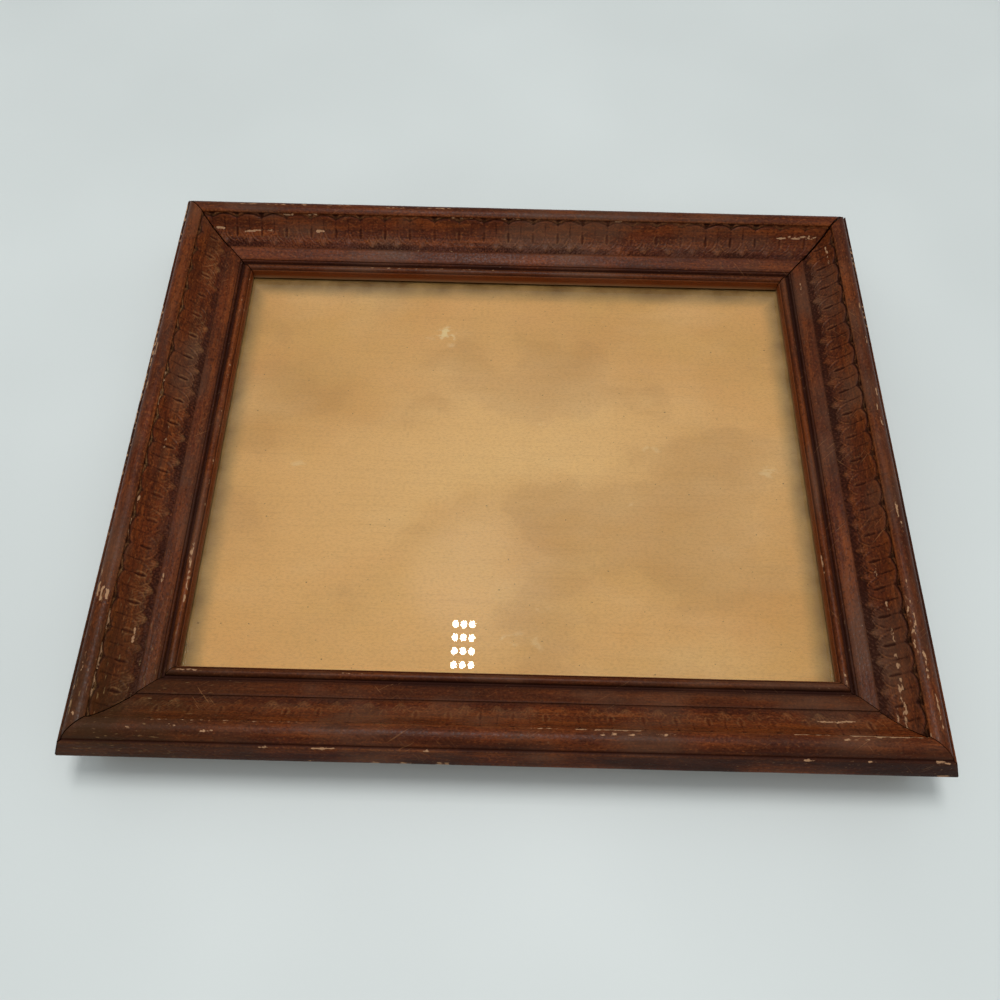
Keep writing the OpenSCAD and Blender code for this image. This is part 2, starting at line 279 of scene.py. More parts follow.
# %% The table
TABLE_COLOUR = "#cbd1cf"
TABLE_DRIFT = "#d1d7d5"
TABLE_HALF = 3.0


def table_paint():
    """Eggshell paint: to the eye a flat pale grey with a soft sheen."""
    finish, tree, shader = new_finish("pale_table_paint")
    spot = add(tree, "ShaderNodeTexCoord").outputs["Object"]
    seen = grown(tree, spot, {
        "drift": (160, 1, 2.0, 0.35, 0.65, 1.0),
        "peel": (2.2, 1, 1.0, 0.3, 0.7, 1.0),
    })
    tint = add(tree, MIX, {0: seen["drift"], 6: colour(TABLE_COLOUR), 7: colour(TABLE_DRIFT)},
               data_type="RGBA")
    close_finish(tree, shader, tint, roughness=0.55, height=seen["peel"], depth=0.02 * MM, strength=0.4)
    return finish


def table_top():
    mesh = bpy.data.meshes.new("table_top")
    corners = ((-1, -1), (1, -1), (1, 1), (-1, 1))
    mesh.from_pydata([(x * TABLE_HALF, y * TABLE_HALF, 0) for x, y in corners], [], [(0, 1, 2, 3)])
    mesh.materials.append(table_paint())
    top = bpy.data.objects.new("table_top", mesh)
    scene.collection.objects.link(top)


table_top()
print("table half side in m:", TABLE_HALF)

# %% [markdown]
# ## The moulding's cross-section
#
# A moulding is one cutter's shape run along a stick. From the outside in it has a
# leaning side band, a narrow ledge, a rounded ridge, a hollow called a cove that
# carries the border, a plain sloping band, a fillet, a groove called a quirk, and a
# bead beside the glass. Its corners are drawn sharp here, in the part's own sizes:
# how far inwards from the outer edge, and how high above the back. Then the whole
# line is smoothed a little, as wear and varnish round every arris, and points are
# kept closely where the line turns and in the cove, where the border needs them.

# %% Sizes of the moulding in millimetres
RAIL_WIDTH = 34.6
RIDGE_CENTRE = (8.0, 23.58)
RIDGE_RADIUS = 4.4
COVE_START = (11.0, 26.0)
COVE_END = (23.0, 16.5)
COVE_RADIUS = 22.0
BEAD_CENTRE = (32.5, 13.4)
BEAD_RADIUS = 1.55
EDGE_CENTRE = (0.8, 17.48)
EDGE_RADIUS = 0.8
BACK_LIFT = 0.05
FINE_STEP = 0.05
ARRIS_SOFTNESS = 0.11


def arc(centre, radius, start, end):
    """Points on an arc from angle start to angle end, in degrees."""
    count = max(3, int(abs(math.radians(end - start)) * radius / FINE_STEP))
    turns = np.radians(np.linspace(start, end, count))
    return [(centre[0] + radius * math.cos(t), centre[1] + radius * math.sin(t)) for t in turns]


def cove_arc():
    """The hollow, as the arc of its radius through both its ends."""
    a, b = np.array(COVE_START), np.array(COVE_END)
    chord = b - a
    half = np.linalg.norm(chord) / 2
    up = np.array((-chord[1], chord[0])) / (2 * half)
    centre = (a + b) / 2 + up * math.sqrt(COVE_RADIUS ** 2 - half ** 2)
    first = math.degrees(math.atan2(*(a - centre)[::-1]))
    last = math.degrees(math.atan2(*(b - centre)[::-1]))
    return arc(centre, COVE_RADIUS, first, last)


before_cove = [(34.6, 9.0), (27.5, 9.0), (27.5, BACK_LIFT), (5.5, BACK_LIFT), (5.5, 3.0)]
before_cove += arc(EDGE_CENTRE, EDGE_RADIUS, start=200.8, end=159.4)
before_cove += [(2.6, 24.38), (3.63, 24.38)]
before_cove += arc(RIDGE_CENTRE, RIDGE_RADIUS, start=169.5, end=47.0)
after_cove = [(23.0, 17.0), (28.8, 14.9), (28.8, 14.4), (29.5, 14.4), (29.9, 13.15), (30.97, 13.15)]
after_cove += arc(BEAD_CENTRE, BEAD_RADIUS, start=170.0, end=5.5)
after_cove += [(34.2, 13.55), (34.2, 13.8), (34.6, 13.8)]
print("cove arc in mm:", round(len(cove_arc()) * FINE_STEP, 1))

# %% [markdown]
# The look of the moulding depends on where its line is. The crests that a hand or
# another frame rubs lose their stain first. The creases are painted darker, partly
# for the stain and dirt that collect there and partly as painted shade. Each crest and
# each crease is given a strength, which falls off on both sides of it. The stain
# itself is browner in the hollow and on the plain band, and nearer to plum on the ridge
# and the side; on the outer side band and in the quirk it is also darker, as painted
# shade. The lip beside the glass is painted paler. The rabbet and the back were never
# stained.

# %% Where stain wears off, where creases get pooled stain and painted shade, and how warm it is
CRESTS = {
    (0.0, 17.48): 1.0,
    (2.6, 24.38): 1.0,
    (8.0, 27.98): 0.55,
    (11.0, 26.8): 1.0,
    (23.0, 17.0): 0.8,
    (28.8, 14.9): 0.6,
    (32.5, 14.95): 0.6,
    (34.6, 13.8): 0.9,
    (34.6, 12.2): 0.9,
}
CREASES = {
    (3.7, 24.4): 1.0,
    (11.05, 26.0): 0.4,
    (22.95, 16.6): 0.7,
    (28.9, 14.4): 0.75,
    (29.9, 13.2): 1.0,
    (31.0, 13.2): 1.0,
    (34.1, 13.55): 0.7,
}
CREST_REACH = 0.8
CREASE_REACH = 0.65
# Low warmth gives the cooler, darker stain: on the outer side band and in the quirk that darkness is painted
# shade. Above 1 the lip is painted paler.
WARMTH_AND_SHADE_AT = {0: 0.0, 2.5: 0.05, 4: 0.3, 8: 0.5, 10.8: 0.7, 11.5: 0.85, 22: 0.8, 23.5: 0.7, 28.5: 0.7,
             29.5: 0.1, 31: 0.1, 32.5: 0.75, 34.2: 0.9, 34.6: 1.6}
STAINED_ABOVE = 0.6
RABBET_STARTS = 27.0
RABBET_STAINED_ABOVE = 9.6
STAIN_FADES_OVER = 0.5
print("crests:", len(CRESTS), "creases:", len(CREASES))

# %% Smooth the line
def fine_line(corners):
    """The closed line through corners, with a point every FINE_STEP."""
    points = []
    for a, b in zip(corners, corners[1:] + corners[:1]):
        a, b = np.array(a), np.array(b)
        count = max(1, int(round(np.linalg.norm(b - a) / FINE_STEP)))
        points += [a + (b - a) * k / count for k in range(count)]
    return np.array(points)


def smooth_ring(values, width):
    """A closed run of values, averaged with a bell of that width in samples."""
    reach = int(4 * width) + 1
    bell = np.exp(-0.5 * (np.arange(-reach, reach + 1) / width) ** 2)
    bell /= bell.sum()
    padded = np.concatenate([values[-reach:], values, values[:reach]])
    return np.stack([np.convolve(padded[:, k], bell, "valid") for k in range(values.shape[1])], 1)


def soft_step(value, low, high):
    """Rises smoothly from 0 at low to 1 at high."""
    t = np.clip((value - low) / (high - low), 0, 1)
    return t * t * (3 - 2 * t)


raw = fine_line(before_cove + cove_arc() + after_cove)
line = smooth_ring(raw, ARRIS_SOFTNESS / FINE_STEP)
tangent = np.roll(line, -1, 0) - np.roll(line, 1, 0)
tangent /= np.linalg.norm(tangent, axis=1)[:, None]
outward = np.stack([-tangent[:, 1], tangent[:, 0]], 1)
step = np.linalg.norm(np.roll(line, -1, 0) - line, axis=1)
girth = np.concatenate([[0], np.cumsum(step)[:-1]])
turn = np.degrees(np.arccos(np.clip((tangent * np.roll(tangent, -1, 0)).sum(1), -1, 1)))
print("length round the cross-section in mm:", round(girth[-1], 1))

# %% Keep the points that it needs, and say what is where
COVE_MARGIN = 0.02
COVE_FLOOR = 16
RIDGE_SPAN = (3.6, 11.3)
RIDGE_FOOT = 24
BACK_EDGE = 3
RABBET_CEILING = 9.1
OUT_OF_COVE = -1.0
MOST_TURN = 32
MOST_HIDDEN_TURN = 90
FACE_STEP = 1.8
RIDGE_STEP = 0.75
COVE_STEP = 0.48
HIDDEN_STEP = 5.0

inside, up = line[:, 0], line[:, 1]
in_cove = (raw[:, 0] > COVE_START[0] + COVE_MARGIN) & (raw[:, 0] < COVE_END[0] - COVE_MARGIN)
in_cove &= raw[:, 1] > COVE_FLOOR
cove_length = step[in_cove].sum()
across = np.where(in_cove, (girth - girth[in_cove].min()) / cove_length, OUT_OF_COVE)
exposure = np.zeros(len(line))
crease = np.zeros(len(line))
for values, spots, spread in ((exposure, CRESTS, CREST_REACH), (crease, CREASES, CREASE_REACH)):
    for spot, strength in spots.items():
        far = np.linalg.norm(line - np.array(spot), axis=1)
        values[:] = np.maximum(values, strength * np.exp(-(far / spread) ** 2))
warmth = np.interp(inside, list(WARMTH_AND_SHADE_AT), list(WARMTH_AND_SHADE_AT.values()))
over_rabbet = np.where(inside > RABBET_STARTS, up - RABBET_STAINED_ABOVE, np.inf)
bare = soft_step(-np.minimum(up - STAINED_ABOVE, over_rabbet), 0, STAIN_FADES_OVER)
hidden = (up < BACK_EDGE) | ((inside > RABBET_STARTS) & (up < RABBET_CEILING))
on_ridge = (inside > RIDGE_SPAN[0]) & (inside < RIDGE_SPAN[1]) & (up > RIDGE_FOOT)
spacing = np.select([in_cove, on_ridge, hidden], [COVE_STEP, RIDGE_STEP, HIDDEN_STEP], FACE_STEP)
cost = np.cumsum(step / spacing + turn / np.where(hidden, MOST_HIDDEN_TURN, MOST_TURN))
kept = np.unique(np.searchsorted(cost, np.arange(0, cost[-1], 1.0)))
print("points in the cross-section:", len(kept), "cove length in mm:", round(cove_length, 2))

# %% The cross-section as a mesh of edges that carries its own facts
def profile_mesh():
    """The cross-section as a closed line in metres, with named values on its points."""
    mesh = bpy.data.meshes.new("moulding_profile")
    count = len(kept)
    mesh.from_pydata([(u * MM, v * MM, 0) for u, v in line[kept]],
                     [(k, (k + 1) % count) for k in range(count)], [])
    facts = {"across": across, "exposure": exposure, "girth": girth * MM, "crease": crease,
             "warmth": warmth, "bare": bare, "inwards": inside / RAIL_WIDTH}
    for name, values in facts.items():
        mesh.attributes.new(name, "FLOAT", "POINT").data.foreach_set("value", values[kept].astype("f"))
    for name, values in {"place": line * MM, "outward": outward}.items():
        flat = np.concatenate([values[kept], np.zeros((count, 1))], 1).astype("f").ravel()
        mesh.attributes.new(name, "FLOAT_VECTOR", "POINT").data.foreach_set("vector", flat)
    return mesh


profile = profile_mesh()
print("profile points:", len(profile.vertices))

# %% [markdown]
# ## One repeat of the border
#
# The border in the cove is a common leaf and dart, pressed into the wood by a heated
# steel wheel. One repeat is a broad tongue that hangs from the ridge and closes as a
# round U. Its top is scalloped, with a small notch in the middle, and a slim leaf
# with a slit lies along its centre, with fine curled veins on both sides. Between the
# tongues are a fine seam and, lower down, a dart with a fan of strokes, and beside the
# plain band the ground is punched. It could be modelled as a mesh and repeated, but
# then it would lie on the cove like an added piece. So it is drawn once, as a small
# die whose height is worked out point by point, and every rail is pressed with it.
# Each part of the drawing is a value from 0 to 1, and a table says how high or deep
# it is pressed. Other tables say how wide its lines are and where its parts begin and
# end. One more names the parts that stand so sharp that they are soon rubbed bare: how
# bare, and from what share of the cove's width inwards.

# %% The die's measures, in millimetres or in shares of the cove's width
PITCH = 11.38
SHOULDER = 0.44
TONGUE_END = 0.82
TONGUE_FLARE = 0.3
RIM_INSET = 0.5
INNER_LINE_INSET = 1.3
DISH_HALF = 4.0
LEAF_START = 0.34
LEAF_LENGTH = 0.38
LEAF_HALF = 1.15
LEAF_FULLNESS = 0.8
LEAF_THINNEST = 0.1
VEIN_END = 0.36
CURL_STEP = 1.5
CURL_LEAN = 1.1
CURL_GAP = 0.3
CURL_SHARPNESS = 3
COMB_STEP = 1.42
COMB_SHIFT = 1.0
COMB_SHARPNESS = 4
SCALLOP_TOP = 0.25
SCALLOP_DEPTH = 1.75
SCALLOP_SHARPNESS = 1.8
BROW_CREST = 0.55
NOTCH_HALF = 1.6
NOTCH_DEPTH = 2.8
DART_START = 0.54
DART_LENGTH = 0.38
DART_HALF = 1.4
FAN_FOOT = 0.95
FAN_LEANS = (0.0, 0.34, 0.72)
RINGS_PER_REPEAT = 5
RING_RADIUS = 0.8
RINGS_AT = 0.91
RINGS_BELOW = 0.86
print("one repeat is", PITCH, "mm by", round(cove_length, 2), "mm")

# %% The die's tables
HEIGHTS = {"ground": -0.19, "rim": 0.20, "inner_line": -0.26, "dish": -0.10, "lids": 0.15, "slit": -0.46,
           "vein": -0.18, "curls": -0.20, "combed": -0.10, "seam": -0.26, "brow": 0.22, "scallop": -0.68,
           "notch": -0.75, "dart": 0.10, "rays": 0.20, "rings": -0.22}
BARE_SHARES = {"lids": (0.6, 0.42), "rays": (0.5, 0.0), "rim": (0.4, 0.6), "crisp_brow": (1.0, 0.0),
               "curls": (0.35, 0.0)}
LINE_WIDTHS = {"rim": 0.34, "inner_line": 0.30, "lids": 0.3, "slit": 0.36, "vein": 0.26, "seam": 0.28,
               "rays": 0.27, "crisp_brow": 0.4, "scallop": 0.40, "rings": 0.3}
FADES_IN = {"tongue": (-0.25, 0.35), "rim": (0.45, 0.6), "inner_line": (0.42, 0.56), "dish": (0.15, 0.5),
            "curls": (0.32, 0.45), "brow": (-0.1, 0.3), "notch": (-0.1, 0.3), "dart": (-0.1, 0.35)}
SPANS = {"slit": (0.34, 0.42, 0.64, 0.72), "combed": (0.12, 0.2, 0.34, 0.46),
         "seam": (0.1, 0.16, 0.48, 0.56), "rays": (0.4, 1.2, 3.8, 5.4)}


def soft_line(name, distance):
    """A soft line: 1 where distance is 0, gone a little past its width."""
    return np.exp(-(distance / LINE_WIDTHS[name]) ** 2)


def fade_in(name, value):
    """Rises from 0 to 1 where the table says."""
    return soft_step(value, *FADES_IN[name])


def span(name, value):
    """Rises and falls again where the table says."""
    start, full, fading, end = SPANS[name]
    return soft_step(value, start, full) * (1 - soft_step(value, fading, end))


print("parts of the border:", len(HEIGHTS))

# %% The tongue with all that lies on it, and what lies round it
def tongue_parts(aside, share):
    """aside is the distance from the tongue's middle, and share goes from 0 to 1 across the cove."""
    rounding = np.clip(share - SHOULDER, 0, 1) / (TONGUE_END - SHOULDER)
    half = PITCH / 2 * np.sqrt(np.clip(1 - rounding ** 2, 0, 1))
    below_end = -(share - TONGUE_END) * cove_length - aside * TONGUE_FLARE
    edge = np.where(share < TONGUE_END, half - aside, below_end)
    tongue = fade_in("tongue", edge)
    along_leaf = np.clip((share - LEAF_START) / LEAF_LENGTH, 0, 1)
    leaf = LEAF_HALF * np.sin(np.pi * along_leaf) ** LEAF_FULLNESS
    curls = np.sin((share * cove_length - CURL_LEAN * aside) * math.tau / CURL_STEP)
    curls = np.clip(curls, 0, 1) ** CURL_SHARPNESS
    combed = np.clip(np.sin(aside * math.tau / COMB_STEP + COMB_SHIFT), 0, 1) ** COMB_SHARPNESS
    return {
        "ground": 1 - tongue,
        "rim": soft_line("rim", edge - RIM_INSET) * fade_in("rim", share),
        "inner_line": soft_line("inner_line", edge - INNER_LINE_INSET) * fade_in("inner_line", share),
        "dish": tongue * np.clip(1 - (aside / DISH_HALF) ** 2, 0, 1) * fade_in("dish", share),
        "lids": tongue * soft_line("lids", aside - leaf) * (leaf > LEAF_THINNEST),
        "slit": tongue * soft_line("slit", aside) * span("slit", share),
        "vein": tongue * soft_line("vein", aside) * (share < VEIN_END),
        "curls": curls * tongue * (aside > leaf + CURL_GAP) * fade_in("curls", share),
        "combed": combed * span("combed", share),
    }


def parts_beside(along, aside, share):
    """The seam, the scalloped brow, the dart and its fan of rays, and the punched rings."""
    depth = share * cove_length
    to_seam = PITCH / 2 - aside
    scallop = np.clip(1 - 2 * aside / PITCH, 0, 1) ** SCALLOP_SHARPNESS
    scallop = SCALLOP_TOP + SCALLOP_DEPTH * scallop
    notch = NOTCH_HALF * (1 - depth / NOTCH_DEPTH)
    dart = DART_HALF * np.sin(np.pi * np.clip((share - DART_START) / DART_LENGTH, 0, 1))
    from_foot = FAN_FOOT * cove_length - depth
    rays = np.maximum.reduce([soft_line("rays", to_seam - lean * from_foot) for lean in FAN_LEANS])
    ring_step = PITCH / RINGS_PER_REPEAT
    along_ring = ((along / ring_step) % 1 - 0.5) * ring_step
    from_ring = np.hypot(along_ring, depth - RINGS_AT * cove_length) - RING_RADIUS
    return {
        "seam": soft_line("seam", to_seam) * span("seam", share),
        "brow": fade_in("brow", scallop - depth),
        "crisp_brow": soft_line("crisp_brow", depth - scallop + BROW_CREST),
        "scallop": soft_line("scallop", depth - scallop),
        "notch": fade_in("notch", notch - aside),
        "dart": fade_in("dart", dart - to_seam),
        "rays": rays * span("rays", from_foot),
        "rings": soft_line("rings", from_ring) * (share > RINGS_BELOW),
    }


print("on the tongue:", ", ".join(tongue_parts(np.zeros(1), np.zeros(1))))

# %% The die as a mesh
DIE_MARGIN = 1.0
DIE_STEP = 0.11
PUNCH_DEPTH = 0.32
PUNCH_SEED = 7
PUNCHED_FROM = (0.50, 0.64)


def die_relief(along, share):
    """Height of the border in mm, how soon it is rubbed bare, and where its ground lies."""
    aside = np.abs((along / PITCH + 0.5) % 1 - 0.5) * PITCH
    parts = tongue_parts(aside, share) | parts_beside(along, aside, share)
    height = sum(mm * parts[name] for name, mm in HEIGHTS.items())
    bare_line = np.maximum.reduce([strength * parts[name] * (share >= after)
                                   for name, (strength, after) in BARE_SHARES.items()])
    return height, bare_line, parts["ground"] * (1 - parts["dart"])


def die_mesh():
    """The die as a small sheet in metres: x along one repeat, y across the cove."""
    xs = np.arange(-DIE_MARGIN, PITCH + DIE_MARGIN, DIE_STEP)
    ys = np.arange(-DIE_MARGIN, cove_length + DIE_MARGIN, DIE_STEP)
    along, over = np.meshgrid(xs, ys)
    height, bare_line, ground = die_relief(along, np.clip(over / cove_length, 0, 1))
    punched = np.random.default_rng(PUNCH_SEED).random(height.shape)
    punched = sum(np.roll(punched, (a, b), (0, 1)) for a in (0, 1) for b in (0, 1)) / 4
    height -= PUNCH_DEPTH * ground * soft_step(punched, *PUNCHED_FROM)
    spots = np.stack([along, over, height], 2).reshape(-1, 3) * MM
    rows, columns = along.shape
    faces = [(r * columns + c, r * columns + c + 1, (r + 1) * columns + c + 1, (r + 1) * columns + c)
             for r in range(rows - 1) for c in range(columns - 1)]
    mesh = bpy.data.meshes.new("border_die")
    mesh.from_pydata(spots.tolist(), [], faces)
    values = mesh.attributes.new("bare_line", "FLOAT", "POINT").data
    values.foreach_set("value", bare_line.ravel().astype("f"))
    return mesh


die = bpy.data.objects.new("border_die", die_mesh())
scene.collection.objects.link(die)
print("die faces:", len(die.data.polygons))

# %% [markdown]
# ## Knocks and scratches
#
# Where the frame has been knocked or dragged, the stain is gone and the pale wood
# shows. Each such place is a line drawn on the moulding as if it were unrolled flat,
# so it is told by the crest that it runs along, how far it lies outwards (less than
# 0) or inwards of it, and from where to where it goes along the rail, counted from
# the rail's middle. The last number is how high the line is held over the surface: a
# higher one reaches less wood and bites less. No rule makes these, so they are a
# list, placed as the photograph shows them.

# %% The knocks on each rail, in millimetres
CRESTS_BY_NAME = {"edge": (0.0, 17.48), "ledge": (2.6, 24.38), "ridge": (8.0, 27.98), "step": (11.0, 26.8),
                  "cove": (17.0, 20.0), "band": (23.0, 17.0), "bead": (32.5, 14.95), "lip": (34.6, 13.8)}
KNOCKS = {
    "bottom_rail": [
        ("step", -0.4, 8, 17, 0.62), ("step", -0.3, 23, 31, 0.55), ("step", -0.2, 31, 45, 0.35),
        ("ridge", 0.9, 31, 47, 0.54), ("ridge", 1.4, 50, 57, 0.57), ("step", -0.2, 117, 143, 0.28),
        ("step", -0.1, 98, 117, 0.48), ("step", -0.6, 126, 138, 0.50),
        ("cove", 1.5, 109, 122, 0.46), ("ridge", 1.2, 112, 124, 0.62), ("ledge", 0.1, 101, 104, 0.45),
        ("ledge", 0.2, 123, 124.5, 0.40), ("edge", 0.2, -36, -33, 0.42), ("edge", 0.2, -24, -20, 0.42),
        ("edge", 0.1, -47, -44, 0.50), ("ledge", 0.1, -66, -58, 0.45), ("ledge", 0.2, -80, -84, 0.55),
        ("ledge", 0.1, -28, -25, 0.5), ("ridge", -1.2, -100, -104, 0.5), ("ridge", 0.6, -112, -118, 0.6),
        ("ridge", -0.5, -126, -129, 0.58), ("step", 0.0, -70, -125, 0.70), ("edge", 0.6, -64, -68, 0.5),
        ("bead", 0.3, -120, -112, 0.6), ("bead", 0.2, -60, -52, 0.66), ("edge", 0.5, 148, 153, 0.3),
        ("ledge", 0.3, 146, 150, 0.4),
    ],
    "right_rail": [
        ("ridge", -1.0, 16, 19, 0.45), ("ridge", -1.6, 9, 12, 0.5), ("ridge", -0.5, -27, -34, 0.40),
        ("ridge", -1.3, -36, -40, 0.55), ("ridge", 1.2, -60, -82, 0.60), ("step", -0.6, -66, -90, 0.55),
        ("cove", -2.0, -66, -71, 0.56), ("cove", -2.1, -77, -82, 0.50), ("cove", -1.9, -87, -92, 0.46),
        ("cove", -2.0, -96, -100, 0.46), ("cove", -1.8, -105, -110, 0.50), ("ridge", 0.2, -88, -99, 0.50),
        ("cove", -1.0, -98, -120, 0.55), ("cove", 1.2, -106, -112, 0.50), ("ridge", -1.2, -104, -116, 0.55),
        ("band", 1.5, -74, -80, 0.62), ("lip", -0.3, -44, -51, 0.48), ("bead", 0.1, -92, -100, 0.60),
        ("edge", 0.5, -40, -60, 0.66), ("band", 0.1, 30, 20, 0.7), ("cove", 0.0, -52, -55, 0.5),
        ("step", 0.1, -118, -126, 0.5), ("edge", 0.3, 62, 70, 0.6), ("ledge", 0.4, 92, 108, 0.52),
        ("ledge", 0.3, 58, 74, 0.56), ("ridge", -2.6, 69, 73, 0.42), ("ridge", -2.4, 51, 54, 0.48),
        ("ridge", -2.2, 24, 27, 0.48), ("band", 2.2, 84, 93, 0.52), ("cove", -4.2, 100, 110, 0.54),
    ],
    "top_rail": [
        ("step", 0.8, 92, 96, 0.48), ("step", 0.9, 103, 107, 0.45), ("step", 0.6, -45, -48, 0.45),
        ("step", 0.6, 20, 30, 0.6), ("step", 0.5, -2, 9, 0.6), ("ridge", -1.2, 96, 116, 0.60),
        ("cove", -1.8, 135, 138, 0.26), ("cove", -0.6, 121, 125, 0.30), ("cove", -1.2, 89, 92, 0.34),
        ("cove", -3.0, -120, -136, 0.52), ("cove", -3.8, -126, -138, 0.50), ("band", 1.5, -8, -12, 0.55),
        ("ridge", -1.0, 120, 128, 0.6), ("band", 0.2, 60, 20, 0.70), ("bead", 0.0, 66, 10, 0.68),
        ("edge", 0.4, 60, 30, 0.68), ("ridge", -0.8, 40, 60, 0.66), ("cove", -1.0, 112, 120, 0.62),
        ("ledge", 0.5, 122, 133, 0.50), ("ridge", -1.4, 76, 87, 0.54), ("ridge", -1.0, 30, 43, 0.58),
    ],
    "left_rail": [
        ("ledge", 0.2, -124, -112, 0.48), ("ledge", 0.3, -108, -100, 0.58), ("ledge", 0.2, -64, -44, 0.50),
        ("ledge", 0.6, -46, -30, 0.42), ("ridge", -2.8, -42, -36, 0.50), ("ledge", 0.1, -28, -14, 0.46),
        ("ledge", 0.4, -10, 8, 0.54), ("ridge", -3.2, -22, -19, 0.45), ("ledge", 0.2, 12, 30, 0.56),
        ("ledge", 0.3, 36, 48, 0.58), ("ridge", -2.6, 69, 74, 0.28), ("ridge", -0.8, 71, 76, 0.34),
        ("ridge", 1.2, 72, 75.5, 0.30), ("ridge", -3.4, 62, 66, 0.50), ("step", 0.9, 40, 48, 0.58),
        ("step", 0.9, 79, 86, 0.36), ("step", 0.8, 92, 101, 0.26), ("step", 0.8, 103, 111, 0.24),
        ("step", 0.8, -30, -22, 0.46), ("step", 0.9, -19, -12, 0.44), ("bead", 0.0, 46, 56, 0.46),
        ("bead", 0.5, 58, 70, 0.50), ("bead", -0.3, 49, 52, 0.40), ("cove", 2.2, 83, 88, 0.45),
        ("cove", -2.0, -4, 6, 0.58), ("ridge", -1.5, 96, 104, 0.62), ("ridge", -3.2, 108, 120, 0.60),
        ("bead", 0.3, -80, 30, 0.74), ("lip", 0.0, -90, 90, 0.76), ("ridge", -1.0, 118, 121, 0.45),
        ("band", 1.0, 60, 63, 0.5), ("step", 2.0, 30, 34, 0.55),
    ],
}
KNOCK_SLANT = 0.012


def knocks_object(node):
    """The knocks on one rail as loose edges over the unrolled moulding, in metres."""
    points = []
    for crest, aside, start, stop, height in KNOCKS[node]:
        on_line = np.linalg.norm(line - np.array(CRESTS_BY_NAME[crest]), axis=1).argmin()
        over = girth[on_line] + aside
        points += [(start, over, height), (stop, over + KNOCK_SLANT * (stop - start), height)]
    mesh = bpy.data.meshes.new("knocks_" + node)
    mesh.from_pydata([Vector(p) * MM for p in points], [(k, k + 1) for k in range(0, len(points), 2)], [])
    holder = bpy.data.objects.new(mesh.name, mesh)
    scene.collection.objects.link(holder)
    return holder


print("knocks drawn:", sum(len(rows) for rows in KNOCKS.values()))

# %% [markdown]
# ## Running and pressing a rail with Geometry Nodes
#
# One tree makes all four rails, because they differ only in length, in place and in
# how hard they were pressed and rubbed. It sweeps the cross-section along a stick,
# draws the ends back to the mitres, looks up each point of the cove on the die by
# casting a ray onto it, knocks and chips the crests, and turns the rail into its side
# of the frame. The joints of an old frame have opened a little, so each mitre has a
# gap of its own at the outer and at the inner end. The nails hold the back of a joint
# tight, so it opens towards the front. The size of a noise in this tree is told by how
# many of its grains go into a metre.

# %% The tree's inputs and the stick with its mitres
RAIL_INPUTS = {"Profile": "Geometry", "Length": "Float", "Rows": "Int", "Die": "Object", "Pitch": "Float",
               "Cove length": "Float", "Border start": "Float", "Relief depth": "Float",
               "Relief wear": "Float", "Bare lines": "Float", "Knocks": "Object",
               "Outer gaps": "Vector", "Inner gaps": "Vector", "Place": "Vector", "Turn": "Vector",
               "Chips": "Float", "Dark share": "Float", "Dark from": "Float", "Seed": "Float",
               "Finish": "Material"}
RAIL_FACTS = {"across": "FLOAT", "inwards": "FLOAT", "exposure": "FLOAT", "girth": "FLOAT",
              "place": "FLOAT_VECTOR", "outward": "FLOAT_VECTOR"}
MITRE_TIGHT_BELOW = 6 * MM
MITRE_OPEN_ABOVE = 19 * MM
TIGHT_SHARE = 0.4


def swept_stick(tree, given, facts):
    """The cross-section run along the stick, and how far along each point must lie."""
    half = add(tree, MATH, {0: given["Length"], 1: 0.5}, operation="MULTIPLY")
    minus = add(tree, MATH, {0: half, 1: -1.0}, operation="MULTIPLY")
    start = add(tree, "ShaderNodeCombineXYZ", {0: minus})
    end = add(tree, "ShaderNodeCombineXYZ", {0: half})
    stick = add(tree, "GeometryNodeCurvePrimitiveLine", {0: start, 1: end})
    stick = add(tree, "GeometryNodeResampleCurve", {0: stick, 2: given["Rows"]})
    outline = add(tree, "GeometryNodeMeshToCurve", {0: given["Profile"]})
    swept = add(tree, "GeometryNodeCurveToMesh", {0: stick, 1: outline, "Fill Caps": True})

    gaps = add(tree, MIX, {0: facts["inwards"], 4: given["Outer gaps"], 5: given["Inner gaps"]},
               data_type="VECTOR")
    gaps = add(tree, "ShaderNodeSeparateXYZ", {0: gaps}).outputs
    here = add(tree, "ShaderNodeSeparateXYZ", {0: add(tree, "GeometryNodeInputPosition")}).outputs[0]
    on_right = add(tree, MATH, {0: here, 1: 0.0}, operation="GREATER_THAN")
    gap = add(tree, MIX, {0: on_right, 2: gaps[0], 3: gaps[1]})
    section = add(tree, "ShaderNodeSeparateXYZ", {0: facts["place"]}).outputs
    opened = add(tree, RANGE, {0: section[1], 1: MITRE_TIGHT_BELOW, 2: MITRE_OPEN_ABOVE, 3: TIGHT_SHARE})
    gap = add(tree, MATH, {0: gap, 1: opened}, operation="MULTIPLY")
    reach = add(tree, MATH, {0: half, 1: section[0]}, operation="SUBTRACT")
    reach = add(tree, MATH, {0: reach, 1: gap}, operation="SUBTRACT")
    share = add(tree, MATH, {0: here, 1: half}, operation="DIVIDE")
    return swept, add(tree, MATH, {0: share, 1: reach}, operation="MULTIPLY")


print("inputs of the rail's tree:", len(RAIL_INPUTS))

# %% The press: each point of the cove finds its height on the die
DIE_SLIP = 0.9 * MM
SLIP_GRAINS = 420.0
DIE_CLEARANCE = 10 * MM
RUBBED_GRAINS = 32.0
RUBBED_FROM = (0.35, 0.65)
PATCH_GRAINS = 70.0
PATCHES_FROM = (0.34, 0.60)


